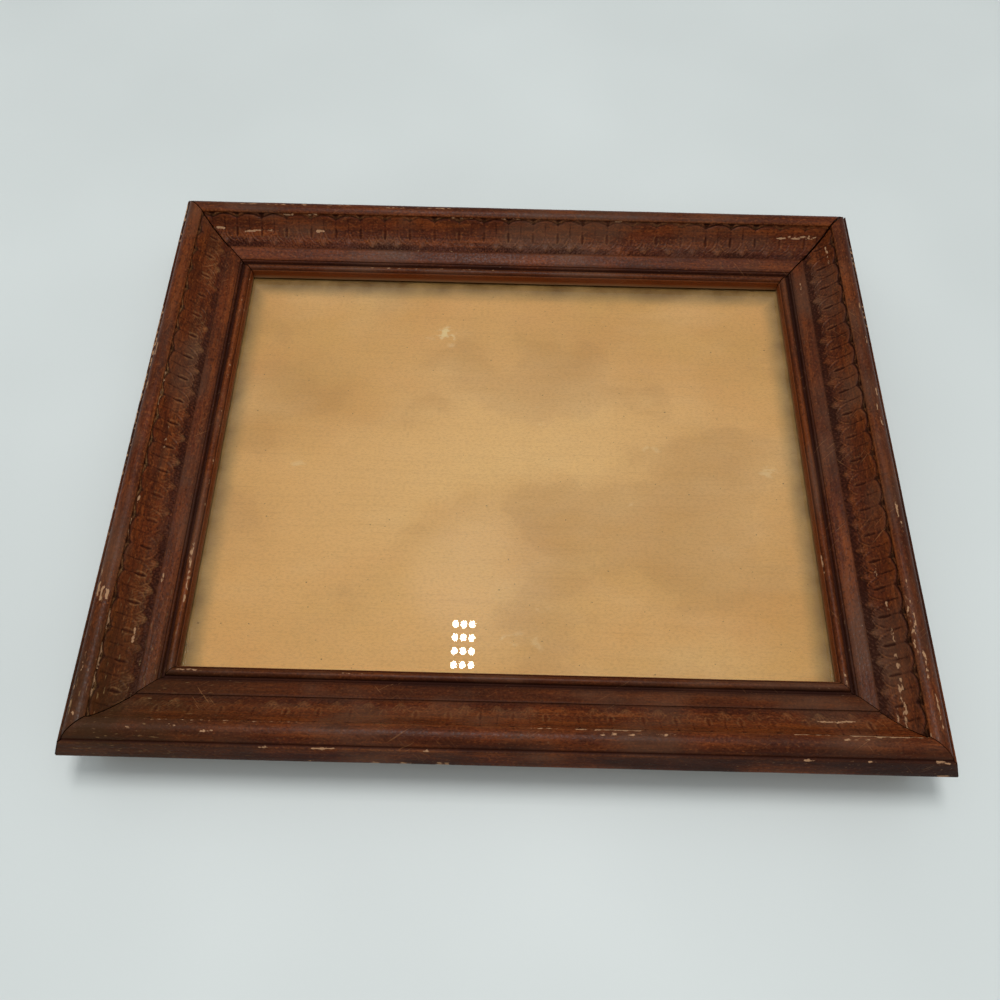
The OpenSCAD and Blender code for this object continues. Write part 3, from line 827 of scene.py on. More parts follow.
def pressed_relief(tree, given, facts, along, spot):
    """How far the border lifts each point, in metres, and how bare its line is there."""
    phase = add(tree, MATH, {0: along, 1: given["Border start"]}, operation="SUBTRACT")
    phase = add(tree, MATH, {0: phase, 1: given["Pitch"]}, operation="DIVIDE")
    phase = add(tree, MATH, {0: phase}, operation="FRACT")
    die_x = add(tree, MATH, {0: phase, 1: given["Pitch"]}, operation="MULTIPLY")
    die_y = add(tree, MATH, {0: facts["across"], 1: given["Cove length"]}, operation="MULTIPLY")
    straight = add(tree, "ShaderNodeCombineXYZ", {0: die_x, 1: die_y, 2: DIE_CLEARANCE})
    slip = add(tree, "ShaderNodeTexNoise", {"Vector": spot, "Scale": SLIP_GRAINS, "Detail": 2.0})
    slip = slip.outputs["Color"]
    slip = add(tree, "ShaderNodeVectorMath", {0: slip, 1: (0.5, 0.5, 0.5)}, operation="SUBTRACT")
    slip = add(tree, "ShaderNodeVectorMath", {0: slip, 1: (DIE_SLIP, DIE_SLIP, 0)}, operation="MULTIPLY")
    above = add(tree, "ShaderNodeVectorMath", {0: straight, 1: slip}, operation="ADD")
    die_shape = add(tree, "GeometryNodeObjectInfo", {0: given["Die"]}).outputs["Geometry"]
    line_on_die = add(tree, "GeometryNodeInputNamedAttribute", {0: "bare_line"}, data_type="FLOAT")
    ray = add(tree, "GeometryNodeRaycast", {0: die_shape, "Attribute": line_on_die, "Source Position": above,
                                            "Ray Direction": (0, 0, -1),
                                            "Ray Length": 2 * DIE_CLEARANCE})
    height = add(tree, "ShaderNodeSeparateXYZ", {0: ray.outputs["Hit Position"]}).outputs[2]
    rubbed = add(tree, "ShaderNodeTexNoise", {"Vector": spot, "Scale": RUBBED_GRAINS, "Detail": 3.0})
    rubbed = add(tree, RANGE, {0: rubbed, 1: RUBBED_FROM[0], 2: RUBBED_FROM[1]})
    rubbed = add(tree, MATH, {0: rubbed, 1: given["Relief wear"]}, operation="MULTIPLY")
    kept_share = add(tree, MATH, {0: 1.0, 1: rubbed}, operation="SUBTRACT")
    in_cove = add(tree, MATH, {0: facts["across"], 1: OUT_OF_COVE / 2}, operation="GREATER_THAN")
    for factor in (given["Relief depth"], kept_share, in_cove):
        height = add(tree, MATH, {0: height, 1: factor}, operation="MULTIPLY")
    patches = add(tree, "ShaderNodeTexNoise", {"Vector": spot, "Scale": PATCH_GRAINS, "Detail": 4.0})
    patches = add(tree, RANGE, {0: patches, 1: PATCHES_FROM[0], 2: PATCHES_FROM[1]})
    bare_line = ray.outputs["Attribute"]
    for factor in (given["Bare lines"], patches, in_cove):
        bare_line = add(tree, MATH, {0: bare_line, 1: factor}, operation="MULTIPLY")
    return height, bare_line


print("the die slips by at most, in mm:", DIE_SLIP / 2 / MM)

# %% The knocks and the chipped crests
KNOCK_GONE = 1.1 * MM
KNOCK_FULL = 0.3 * MM
ZONE_GRAINS = 60.0
ZONES_FROM = (0.45, 0.75)


def worn_places(tree, given, facts, spot):
    """How much stain each point has lost, from 0 to 1."""
    flat = add(tree, "ShaderNodeVectorMath", {0: spot, 1: (1, 1, 0)}, operation="MULTIPLY")
    lines = add(tree, "GeometryNodeObjectInfo", {0: given["Knocks"]}).outputs["Geometry"]
    near = add(tree, "GeometryNodeProximity", {0: lines, "Sample Position": flat}, target_element="EDGES")
    knocked = add(tree, RANGE, {0: near.outputs["Distance"], 1: KNOCK_GONE, 2: KNOCK_FULL})
    zones = add(tree, "ShaderNodeTexNoise", {"Vector": spot, "Scale": ZONE_GRAINS, "Detail": 3.0})
    zones = add(tree, RANGE, {0: zones, 1: ZONES_FROM[0], 2: ZONES_FROM[1]})
    likely = add(tree, MATH, {0: facts["exposure"], 1: given["Chips"]}, operation="MULTIPLY")
    likely = add(tree, MATH, {0: likely, 1: zones}, operation="MULTIPLY")
    return add(tree, MATH, {0: likely, 1: knocked}, operation="MAXIMUM")


print("a knock reaches, in mm:", round(KNOCK_GONE / MM, 2))

# %% The rail's whole tree
CHIP_DEPTH = 0.16 * MM
CHIPS_FROM = 0.5
WOBBLE = 0.22 * MM
WOBBLE_GRAINS = 30.0
DARK_FADES_OVER = 0.05


def moulding_tree():
    """Runs, presses, knocks and turns a rail, and stores on it what its finish reads."""
    tree = bpy.data.node_groups.new("run_and_press_moulding", "GeometryNodeTree")
    for name, kind in RAIL_INPUTS.items():
        tree.interface.new_socket(name, in_out="INPUT", socket_type="NodeSocket" + kind)
    tree.interface.new_socket("Rail", in_out="OUTPUT", socket_type="NodeSocketGeometry")
    given = add(tree, "NodeGroupInput").outputs
    facts = {name: add(tree, "GeometryNodeInputNamedAttribute", {0: name}, data_type=kind).outputs[0]
             for name, kind in RAIL_FACTS.items()}
    shape, along = swept_stick(tree, given, facts)
    spot = add(tree, "ShaderNodeCombineXYZ", {0: along, 1: facts["girth"], 2: given["Seed"]})
    relief, bare_line = pressed_relief(tree, given, facts, along, spot)
    worn = worn_places(tree, given, facts, spot)

    dark_to = add(tree, MATH, {0: given["Dark from"], 1: DARK_FADES_OVER}, operation="ADD")
    dark = add(tree, RANGE, {0: facts["inwards"], 1: given["Dark from"], 2: dark_to,
                             4: given["Dark share"]})
    deep = add(tree, RANGE, {0: worn, 1: CHIPS_FROM, 2: 1.0, 4: -CHIP_DEPTH})
    wobble = add(tree, "ShaderNodeTexNoise", {"Vector": spot, "Scale": WOBBLE_GRAINS, "Detail": 4.0})
    wobble = add(tree, RANGE, {0: wobble, 3: -WOBBLE / 2, 4: WOBBLE / 2})
    lift = add(tree, MATH, {0: relief, 1: deep}, operation="ADD")
    lift = add(tree, MATH, {0: lift, 1: wobble}, operation="ADD")
    offset = add(tree, "ShaderNodeVectorMath", {0: facts["outward"], "Scale": lift}, operation="SCALE")
    lifted = add(tree, "ShaderNodeVectorMath", {0: facts["place"], 1: offset}, operation="ADD")
    lifted = add(tree, "ShaderNodeSeparateXYZ", {0: lifted}).outputs
    moved = add(tree, "ShaderNodeCombineXYZ", {0: along, 1: lifted[0], 2: lifted[1]})

    for name, value in {"relief": relief, "bare_line": bare_line, "worn": worn, "dark": dark,
                        "grain": spot}.items():
        shape = add(tree, "GeometryNodeStoreNamedAttribute", {0: shape, "Name": name},
                    data_type="FLOAT_VECTOR" if name == "grain" else "FLOAT")
        tree.links.new(value.outputs[0], next(s for s in shape.inputs if s.name == "Value" and s.enabled))
    shape = add(tree, "GeometryNodeSetPosition", {0: shape, "Position": moved})
    shape = add(tree, "GeometryNodeTransform", {0: shape, "Translation": given["Place"]})
    shape = add(tree, "GeometryNodeTransform", {0: shape, "Rotation": given["Turn"]})
    shape = add(tree, "GeometryNodeSetShadeSmooth", {0: shape})
    shape = add(tree, "GeometryNodeRealizeInstances", {0: shape})
    shape = add(tree, "GeometryNodeSetMaterial", {0: shape, "Material": given["Finish"]})
    add(tree, "NodeGroupOutput", {0: shape})
    return tree


rail_tree = moulding_tree()
print("nodes in the rail's tree:", len(rail_tree.nodes))

# %% [markdown]
# ## Stained and varnished hardwood
#
# The moulding is a cheap hardwood, stained red brown and varnished thinly. To the eye
# that gives a dark, warm surface with a dull sheen, fine streaks of grain along each
# stick, near-black creases and hollows, lighter ridges of the border where it has been
# rubbed, an olive dirt on the corner by which it was held, and pale bare wood in chips
# and scratches. The near-black in the creases and hollows is partly pooled stain and
# partly painted shade, and the cooler, darker stain and soil on the outer side band and
# in the quirk are partly painted shade too. The lip beside the glass is painted paler,
# and an uneven film of dust dulls the faces. Old varnish is dulled by fine scratches,
# so its shine is set well below that of new.
#
# A picture of wood wrapped round the rails would show its seams. Here the grain reads
# the distances along and round the stick that the tree has stored, so it turns the
# corner at each mitre as real wood does. One function works out how strong each kind
# of wear and of painted shade is at a spot, and the finish lays their colours over
# each other, from the oldest to the newest.

# %% The wood's patterns
WOOD_PATTERNS = {
    "clouds": (42, 2.0, 4.0, 0.38, 0.62, 1.0),
    "patches": (7, 1.6, 5.0, 0.44, 0.66, 0.70),
    "streaks": (1.1, 24, 3.0, 0.42, 0.70, 0.62),
    "glow": (4, 9, 5.0, 0.47, 0.68, 0.65),
    "pores": (0.55, 8, 1.0, 0.60, 0.70, 0.45),
    "grime": (0.8, 1.6, 4.0, 0.50, 0.68, 0.76),
    "thin": (0.9, 1.8, 4.0, 0.54, 0.72, 0.56),
    "film": (22, 1.5, 6.0, 0.47, 0.64, 0.52),
    "specks": (0.9, 1, 2.0, 0.36, 0.66, 1.0),
    "dust": (0.8, 2.0, 3.0, 0.64, 0.72, 0.75),
    "peel": (1.1, 1.3, 2.0, 0.2, 0.8, 1.0),
    "bits": (1.0, 2.2, 5.0, 0.0, 1.0, 1.0),
    "scuffs": (26, 1, 3.0, 0.52, 0.66, 0.55),
    "soiling_and_shade": (14, 3, 3.0, 0.36, 0.6, 0.90),
    "nicks": (0.9, 5, 4.0, 0.645, 0.70, 0.70),
}
HAIRS = {"hairs": (0.6, 24, 1.0, 0.69, 0.73, 0.7)}
HAIR_ANGLES = (0.9, -0.6)
print("patterns in the wood:", len(WOOD_PATTERNS) + len(HAIRS))

# %% How strong each kind of wear and painted shade is
WOOD_FACTS = ("relief", "bare_line", "worn", "dark", "exposure", "crease", "warmth", "bare")
HANDLED_CORNER = [c * MM for c in (-150, -125, 20)]
HANDLED_REACH = 75 * MM
HANDLED_FULLY = 0.3 * HANDLED_REACH
HANDLED_DIRT = (0.75, 0.40)
WARM_BY_PLACE = 0.6
WARM_BY_CLOUDS = 0.4
POOLED_AND_SHADED_BELOW = (-0.40 * MM, -0.05 * MM)
POOLED_AND_SHADED_IN_RELIEF = 0.85
POOLED_AND_SHADED_IN_CREASES = 0.9
RUBBED_ABOVE = (-0.05 * MM, 0.20 * MM)
RUBBED_ON_RELIEF = 0.55
RUBBED_ON_CRESTS = 0.5
EXPOSED_FROM = 0.2
BARE_LINE_SHARE = (0.35, 0.95)
PALER_LIP_FROM = (1.0, 1.6)
PALER_LIP_SHARE = 0.42
CHIP_SHARE = 0.5
CHIPPED_FROM = (0.80, 0.88)


def hair_scratches(tree, grain):
    """Fine straight scratches that run in two directions across the grain."""
    hairs = 0.0
    for angle in HAIR_ANGLES:
        turned = add(tree, "ShaderNodeVectorRotate", {"Vector": grain, "Angle": angle},
                     rotation_type="Z_AXIS")
        hairs = add(tree, MATH, {0: hairs, 1: grown(tree, turned.outputs[0], HAIRS)["hairs"]},
                    operation="MAXIMUM")
    return hairs


def wood_wear(tree, facts, seen, hairs):
    """Each kind of wear and of painted shade as a node from 0 to 1, by name, and how warm the stain is."""
    place = add(tree, "ShaderNodeTexCoord").outputs["Object"]
    handled = add(tree, "ShaderNodeVectorMath", {0: place, 1: HANDLED_CORNER}, operation="DISTANCE")
    handled = add(tree, RANGE, {0: handled.outputs["Value"], 1: HANDLED_REACH, 2: HANDLED_FULLY})
    warm = add(tree, MATH, {0: facts["warmth"], 1: WARM_BY_PLACE}, operation="MULTIPLY")
    warm = add(tree, MATH, {0: seen["clouds"], 1: WARM_BY_CLOUDS, 2: warm}, operation="MULTIPLY_ADD")
    # The soil coat follows the cooler places, so on the outer side band and in the quirk it is painted shade
    # as well as dirt.
    cool_and_shaded = add(tree, MATH, {0: 1.0, 1: facts["warmth"]}, operation="SUBTRACT")

    in_relief = add(tree, RANGE, {0: facts["relief"], 1: RUBBED_ABOVE[0], 2: RUBBED_ABOVE[1],
                                  4: RUBBED_ON_RELIEF})
    rubbed = add(tree, RANGE, {0: facts["exposure"], 1: EXPOSED_FROM, 2: 1.0, 4: RUBBED_ON_CRESTS})
    rubbed = add(tree, MATH, {0: rubbed, 1: in_relief}, operation="MAXIMUM")
    # Recesses of the border are painted darker, and so are the creases: partly pooled stain, partly painted
    # shade.
    pooled_stain_and_shade = add(tree, RANGE, {0: facts["relief"], 1: POOLED_AND_SHADED_BELOW[0], 2: POOLED_AND_SHADED_BELOW[1],
                               3: POOLED_AND_SHADED_IN_RELIEF, 4: 0.0})
    in_crease = add(tree, MATH, {0: facts["crease"], 1: POOLED_AND_SHADED_IN_CREASES}, operation="MULTIPLY")
    dirty = add(tree, RANGE, {0: seen["patches"], 2: 0.5, 3: HANDLED_DIRT[0], 4: HANDLED_DIRT[1]})
    soiled_and_shaded = add(tree, MATH, {0: seen["soiling_and_shade"], 1: cool_and_shaded}, operation="MULTIPLY")
    chip = add(tree, MATH, {0: facts["worn"], 1: CHIP_SHARE, 2: seen["bits"]}, operation="MULTIPLY_ADD")
    bare_line = add(tree, RANGE, {0: seen["specks"], 3: BARE_LINE_SHARE[0], 4: BARE_LINE_SHARE[1]})
    return {
        "warm": warm,
        # The lip beside the glass is painted paler.
        "paler_lip": add(tree, RANGE, {0: facts["warmth"], 1: PALER_LIP_FROM[0], 2: PALER_LIP_FROM[1],
                                        4: PALER_LIP_SHARE}),
        "rubbed": add(tree, MATH, {0: rubbed, 1: seen["specks"]}, operation="MULTIPLY"),
        "soiled_and_shaded": soiled_and_shaded,
        "dirty": add(tree, MATH, {0: handled, 1: dirty}, operation="MULTIPLY"),
        "nicked": add(tree, MATH, {0: handled, 1: seen["nicks"]}, operation="MULTIPLY"),
        "dusty": add(tree, MATH, {0: seen["dust"], 1: soiled_and_shaded}, operation="MULTIPLY"),
        "pooled_stain_and_shade": add(tree, MATH, {0: pooled_stain_and_shade, 1: in_crease}, operation="MAXIMUM"),
        "bare_line": add(tree, MATH, {0: facts["bare_line"], 1: bare_line}, operation="MULTIPLY"),
        "scuffed": add(tree, MATH, {0: seen["scuffs"], 1: hairs}, operation="MULTIPLY"),
        "chip": add(tree, RANGE, {0: chip, 1: CHIPPED_FROM[0], 2: CHIPPED_FROM[1]}),
    }


print("facts that the wood reads:", len(WOOD_FACTS) + 1)

# %% The wood's finish
COOL_STAIN_AND_SHADE = "#461c12"
WARM_STAIN = "#6a2f10"
# The soiled and pooled coats are partly dirt and pooled stain and partly painted shade: soil on the outer
# side band and in the quirk, the pooled colour in recesses and creases. The dark coat darkens the inner part
# of a rail; on the top rail it is painted shade on the quirk, bead and lip.
STAIN_COATS = {"patches": "#3e1a0a", "glow": "#834016", "streaks": "#371507", "pores": "#220b04",
               "grime": "#2e1106", "thin": "#8c4b22", "dark": "#2c1508", "film": "#5a4030",
               "paler_lip": "#9a4c20", "rubbed": "#8c5229", "soiled_and_shaded": "#27130d", "dirty": "#33200f",
               "nicked": "#8a6a44", "dusty": "#7c5c42", "pooled_stain_and_shade": "#240a03", "bare_line": "#9c744a",
               "scuffed": "#9c6a42", "chip": "#a07a5a"}
RAW_WOOD = ("#b48a5e", "#8a6238")
VARNISH_ROUGHNESS = (0.31, 0.53)
BARE_ROUGHNESS = 0.85
VARNISH_SHINE = 0.06


def stained_hardwood():
    """Stained, thinly varnished wood: dark and warm, with a dull sheen and pale chips."""
    finish, tree, shader = new_finish("stained_varnished_hardwood")
    grain = add(tree, "ShaderNodeAttribute", attribute_name="grain").outputs["Vector"]
    facts = {name: add(tree, "ShaderNodeAttribute", attribute_name=name).outputs["Fac"]
             for name in WOOD_FACTS}
    seen = grown(tree, grain, WOOD_PATTERNS)
    worn = wood_wear(tree, facts, seen, hair_scratches(tree, grain))
    shares = seen | {"dark": facts["dark"]} | worn

    tint = add(tree, MIX, {0: worn["warm"], 6: colour(COOL_STAIN_AND_SHADE), 7: colour(WARM_STAIN)}, data_type="RGBA")
    for name, over in STAIN_COATS.items():
        tint = add(tree, MIX, {0: shares[name], 6: tint, 7: colour(over)}, data_type="RGBA")
    raw = add(tree, MIX, {0: seen["streaks"], 6: colour(RAW_WOOD[0]), 7: colour(RAW_WOOD[1])},
              data_type="RGBA")
    tint = add(tree, MIX, {0: facts["bare"], 6: tint, 7: raw}, data_type="RGBA")

    sheen = add(tree, RANGE, {0: seen["specks"], 3: VARNISH_ROUGHNESS[0], 4: VARNISH_ROUGHNESS[1]})
    dull = add(tree, MATH, {0: worn["chip"], 1: worn["pooled_stain_and_shade"]}, operation="MAXIMUM")
    dull = add(tree, MATH, {0: dull, 1: facts["bare"]}, operation="MAXIMUM")
    sheen = add(tree, MIX, {0: dull, 2: sheen, 3: BARE_ROUGHNESS})
    shader.inputs["Specular IOR Level"].default_value = VARNISH_SHINE
    uneven = add(tree, MATH, {0: seen["streaks"], 1: -0.8, 2: seen["peel"]}, operation="MULTIPLY_ADD")
    close_finish(tree, shader, tint, sheen, height=uneven, depth=0.10 * MM, strength=0.7)
    return finish


hardwood = stained_hardwood()
print("nodes in the wood's finish:", len(hardwood.node_tree.nodes))

# %% [markdown]
# ## The four rails
#
# Each side has its own length, turn and wear. The border was pressed on one long
# moulding before it was cut, so it starts at another place on each rail. It is
# crisp on the right rail and nearly worn away on the near one. Part of some rails is
# darker: the table says how much, and from what share of the width inwards. On the
# top rail that darker part is painted shade on the quirk, bead and lip. The last two
# pairs are the gaps in millimetres at the rail's two mitres, at the outer corner and
# beside the glass.

# %% How each rail differs
LONG_SIDE = round(cad_high[0] - cad_low[0], 6)
SHORT_SIDE = round(cad_high[1] - cad_low[1], 6)
ROW_STEP_ALONG = 0.415 * MM
BACK_HEIGHT = 5 * MM
SEED_STEP = 0.37
RAILS = {
    "bottom_rail": {"turn": 0, "start": 2.0, "depth": 0.60, "wear": 0.80, "bare_lines": 0.55,
                    "chips": 0.30, "dark": (0.38, 0.62), "outer": (0.35, 0.20), "inner": (0.22, 0.25)},
    "right_rail": {"turn": 90, "start": -48.9, "depth": 1.3, "wear": 0.40, "bare_lines": 0.25,
                   "chips": 0.30, "dark": (0.12, 0.30), "outer": (0.20, 0.20), "inner": (0.22, 0.35)},
    # The top rail's dark part, from 0.84 of the width inwards, is painted shade.
    "top_rail": {"turn": 180, "start": 3.6, "depth": 0.95, "wear": 0.75, "bare_lines": 0.35,
                 "chips": 0.30, "dark": (0.45, 0.84), "outer": (1.15, 0.28), "inner": (0.45, 0.45)},
    "left_rail": {"turn": 270, "start": 5.0, "depth": 1.0, "wear": 0.40, "bare_lines": 0.85,
                  "chips": 0.53, "dark": (0.0, 0.5), "outer": (0.28, 0.35), "inner": (0.40, 0.22)},
}
print("long and short side in mm:", round(LONG_SIDE / MM, 1), round(SHORT_SIDE / MM, 1))

# %% Run a tree, and make its result a plain mesh
CM3 = 1e-6


def plain_mesh(holder, name):
    """The evaluated shape of holder as a new object with a plain mesh; holder goes."""
    graph = bpy.context.evaluated_depsgraph_get()
    mesh = bpy.data.meshes.new_from_object(holder.evaluated_get(graph))
    mesh.name = name
    made = bpy.data.objects.new(name, mesh)
    scene.collection.objects.link(made)
    bpy.data.objects.remove(holder)
    return made


def with_tree(mesh, tree, values):
    """An object with mesh and a Geometry Nodes modifier, its inputs set by identifier."""
    holder = bpy.data.objects.new(tree.name, mesh)
    modifier = holder.modifiers.new(tree.name, "NODES")
    modifier.node_group = tree
    sockets = {s.name: s.identifier for s in tree.interface.items_tree if s.in_out == "INPUT"}
    for name, value in values.items():
        modifier[sockets[name]] = value
    scene.collection.objects.link(holder)
    return holder


def turned_outwards(piece):
    """Makes every face of a closed piece point outwards, and gives its volume in cm3."""
    shape = bmesh.new()
    shape.from_mesh(piece.data)
    if shape.calc_volume(signed=True) < 0:
        bmesh.ops.reverse_faces(shape, faces=shape.faces)
    volume = shape.calc_volume(signed=True)
    shape.to_mesh(piece.data)
    shape.free()
    return volume / CM3


print("helpers made: to run a tree, to take its plain mesh and to turn that outwards")

# %% Make the four rails
for number, (node, facts) in enumerate(RAILS.items()):
    long_rail = facts["turn"] % 180 == 0
    length = LONG_SIDE if long_rail else SHORT_SIDE
    knocks = knocks_object(node)
    holder = with_tree(profile.copy(), rail_tree, {
        "Length": length, "Rows": int(length / ROW_STEP_ALONG), "Die": die, "Pitch": PITCH * MM,
        "Cove length": cove_length * MM, "Border start": facts["start"] * MM,
        "Relief depth": facts["depth"], "Relief wear": facts["wear"],
        "Bare lines": facts["bare_lines"], "Knocks": knocks,
        "Outer gaps": [g * MM for g in facts["outer"]] + [0.0],
        "Inner gaps": [g * MM for g in facts["inner"]] + [0.0],
        "Place": [0.0, -(SHORT_SIDE if long_rail else LONG_SIDE) / 2, BACK_HEIGHT],
        "Turn": [0.0, 0.0, math.radians(facts["turn"])], "Chips": facts["chips"],
        "Dark share": facts["dark"][0], "Dark from": facts["dark"][1], "Seed": SEED_STEP * number,
        "Finish": hardwood,
    })
    rail = plain_mesh(holder, "carved_" + node)
    volume = turned_outwards(rail)
    bpy.data.objects.remove(knocks)
    triangles = sum(len(p.vertices) - 2 for p in rail.data.polygons)
    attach(rail, "frame")
    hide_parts(node)
    print(node, "triangles", triangles, "volume in cm3", round(volume, 1))
bpy.data.objects.remove(die)

# %% [markdown]
# ## Glass
#
# The pane is two millimetres of old drawn window glass, so it bends light, tints it a
# very little green, and mirrors a few parts in a hundred from each face. That makes each
# lamp show twice, a hair apart. The renderer would find the card under real glass
# only by chance, so rays on their way to a lamp pass straight through. Fingers and
# dust have left faint smears, which only soften the mirror.

# %% The glass's finish
GLASS_TINT = "#fbfdfb"


def window_glass():
    """Old window glass: clear, with a mirror on both faces and faint smears."""
    finish, tree, shader = new_finish("window_glass")
    spot = add(tree, "ShaderNodeTexCoord").outputs["Object"]
    smears = grown(tree, spot, {"smears": (20, 1.6, 5.0, 0.5, 0.8, 0.02)})["smears"]
    shader.inputs["Base Color"].default_value = colour(GLASS_TINT)
    shader.inputs["Transmission Weight"].default_value = 1.0
    tree.links.new(smears.outputs[0], shader.inputs["Roughness"])
    to_lamp = add(tree, "ShaderNodeLightPath").outputs["Is Shadow Ray"]
    clear = add(tree, "ShaderNodeBsdfTransparent", {"Color": colour(GLASS_TINT)})
    mixed = add(tree, "ShaderNodeMixShader", {0: to_lamp, 1: shader, 2: clear})
    tree.links.new(mixed.outputs[0], tree.nodes["Material Output"].inputs["Surface"])
    return finish


def give_finish(finish, *nodes):
    """Puts a finish on CAD nodes that keep their own shape."""
    for node in nodes:
        materials = frame["nodes"][node].data.materials
        materials.clear()
        materials.append(finish)
    print(finish.name, "on", ", ".join(nodes))


give_finish(window_glass(), "glass_pane")

# %% [markdown]
# Seen from straight above, the pane would mirror the big lamps and hide the card. A
# photographer hangs a dark flag so that the glass does not see them. Here the lamps
# are told to leave the glass out, and only the small cluster shows in it.

# %% Flag the big lamps off the glass
FLAGGED_LAMPS = ("key_lamp", "ceiling_panel", "spark_lamp")

flagged = bpy.data.collections.new("flagged_glass")
flagged.objects.link(frame["nodes"]["glass_pane"])
flagged.collection_objects[0].light_linking.link_state = "EXCLUDE"
for name in FLAGGED_LAMPS:
    scene.objects[name].light_linking.receiver_collection = flagged
print("lamps that the glass does not mirror:", len(FLAGGED_LAMPS))

# %% [markdown]
# ## Aged card
#
# Behind the glass is a sheet of plain card that has turned tan with age. It is paler
# in the middle. Along its edges it is painted darker and olive, most at the top and
# hardly at the bottom: painted shade of the lip and a painted reflection of the lip in
# the glass. It is clouded with soft stains some centimetres across, with a tide line
# here and there and small places where its face has peeled.
# Close to, one also sees the fine sideways streaks of the paper machine, and a few
# dark specks. Each of these is a coat of colour over the last, as on the wood. They
# lie in the card and not on the glass, so they stay in place from every side.

# %% The card's finish
CARD_PATTERNS = {
    "yellowed": (75, 1.2, 3.0, 0.44, 0.66, 0.45),
    "rosy": (60, 1.4, 3.0, 0.46, 0.70, 0.26),
    "stains": (44, 1.2, 6.0, 0.48, 0.68, 0.15),
    "tide": (40, 1.4, 6.0, 0.54, 0.57, 0.09),
    "pale": (34, 2.0, 5.0, 0.50, 0.72, 0.32),
    "flaking": (24, 1.4, 3.0, 0.71, 0.77, 0.75),
    "peeled": (2.8, 1.5, 5.0, 0.50, 0.58, 1.0),
    "streaks": (1.3, 30, 2.0, 0.50, 0.78, 0.09),
    "fibres": (0.7, 2, 3.0, 0.45, 0.70, 0.16),
    "specks": (1.5, 1, 1.0, 0.76, 0.79, 0.60),
    "edge_shade_breakup": (12, 1, 4.0, -0.3, 0.7, 0.95),
    "ripple": (7, 2.0, 2.0, 0.2, 0.8, 1.0),
}
# The card's edges are painted darker and olive as shade and reflection of the lip: how far that reaches in,
# how much it leans to the top, and how much further it reaches at the sides.
EDGE_SHADE_REACH = 7.5 * MM
EDGE_SHADE_LEAN = 4.5 * MM
SIDE_EDGE_SHADE = 2.0 * MM
PALE_MIDDLE = [c * MM for c in (6, -12, 0)]
PALE_SQUASH = (1, 1.25, 0)
PALE_FROM = 20 * MM
PALE_TO = 150 * MM
PALE_TAN = "#fddc9d"
DARK_TAN = "#f4c87c"
CARD_COATS = {"yellowed": "#eac26a", "rosy": "#eeb268", "stains": "#cf9648", "tide": "#bd8142",
              "pale": "#fde2ac", "damp_and_edge_shade": "#744600", "streaks": "#b8824a", "fibres": "#a06e38",
              "peeled": "#ffeec0", "specks": "#6e4720"}
SIGHT_X = LONG_SIDE / 2 - RAIL_WIDTH * MM
SIGHT_Y = SHORT_SIDE / 2 - RAIL_WIDTH * MM
CARD_ROUGHNESS = (0.75, 0.92)


def aged_card():
    """Plain card gone tan: matt and warm, clouded, with painted shade and reflection of the lip along its
    edges.
    """
    finish, tree, shader = new_finish("aged_card")
    spot = add(tree, "ShaderNodeTexCoord").outputs["Object"]
    seen = grown(tree, spot, CARD_PATTERNS)
    out = add(tree, "ShaderNodeVectorMath", {0: spot, 1: PALE_MIDDLE}, operation="SUBTRACT")
    out = add(tree, "ShaderNodeVectorMath", {0: out, 1: PALE_SQUASH}, operation="MULTIPLY")
    out = add(tree, "ShaderNodeVectorMath", {0: out}, operation="LENGTH").outputs["Value"]
    out = add(tree, RANGE, {0: out, 1: PALE_FROM, 2: PALE_TO})
    tint = add(tree, MIX, {0: out, 6: colour(PALE_TAN), 7: colour(DARK_TAN)}, data_type="RGBA")

    # Painted shade and reflection of the lip along the sight edge, strongest at the top.
    axes = add(tree, "ShaderNodeVectorMath", {0: spot, 1: (0, EDGE_SHADE_LEAN, 0)}, operation="ADD")
    axes = add(tree, "ShaderNodeVectorMath", {0: axes}, operation="ABSOLUTE")
    axes = add(tree, "ShaderNodeSeparateXYZ", {0: axes}).outputs
    beyond = [add(tree, MATH, {0: axes[k], 1: half}, operation="SUBTRACT")
              for k, half in enumerate((SIGHT_X - SIDE_EDGE_SHADE, SIGHT_Y))]
    damp_and_edge_shade = add(tree, MATH, {0: beyond[0], 1: beyond[1]}, operation="MAXIMUM")
    damp_and_edge_shade = add(tree, RANGE, {0: damp_and_edge_shade, 1: -EDGE_SHADE_REACH, 2: EDGE_SHADE_LEAN}, interpolation_type="SMOOTHSTEP")
    seen["damp_and_edge_shade"] = add(tree, MATH, {0: damp_and_edge_shade, 1: seen["edge_shade_breakup"]}, operation="MULTIPLY")
    seen["peeled"] = add(tree, MATH, {0: seen["flaking"], 1: seen["peeled"]}, operation="MULTIPLY")
    for name, over in CARD_COATS.items():
        tint = add(tree, MIX, {0: seen[name], 6: tint, 7: colour(over)}, data_type="RGBA")
    rough = add(tree, RANGE, {0: seen["ripple"], 3: CARD_ROUGHNESS[0], 4: CARD_ROUGHNESS[1]})
    close_finish(tree, shader, tint, rough, height=seen["ripple"], depth=0.15 * MM, strength=0.5)
    return finish


give_finish(aged_card(), "picture_card")

# %% [markdown]
# ## The boards behind
#
# Behind the card lies a sheet of corrugated board, which keeps it flat against the
# glass, and behind that a sheet of hardboard closes the frame. Hardboard is pressed
# from wet wood fibre on a wire screen, so its rough side, which faces out here,
# shows the screen's mesh and loose brown fibres. The mesh is about a millimetre.

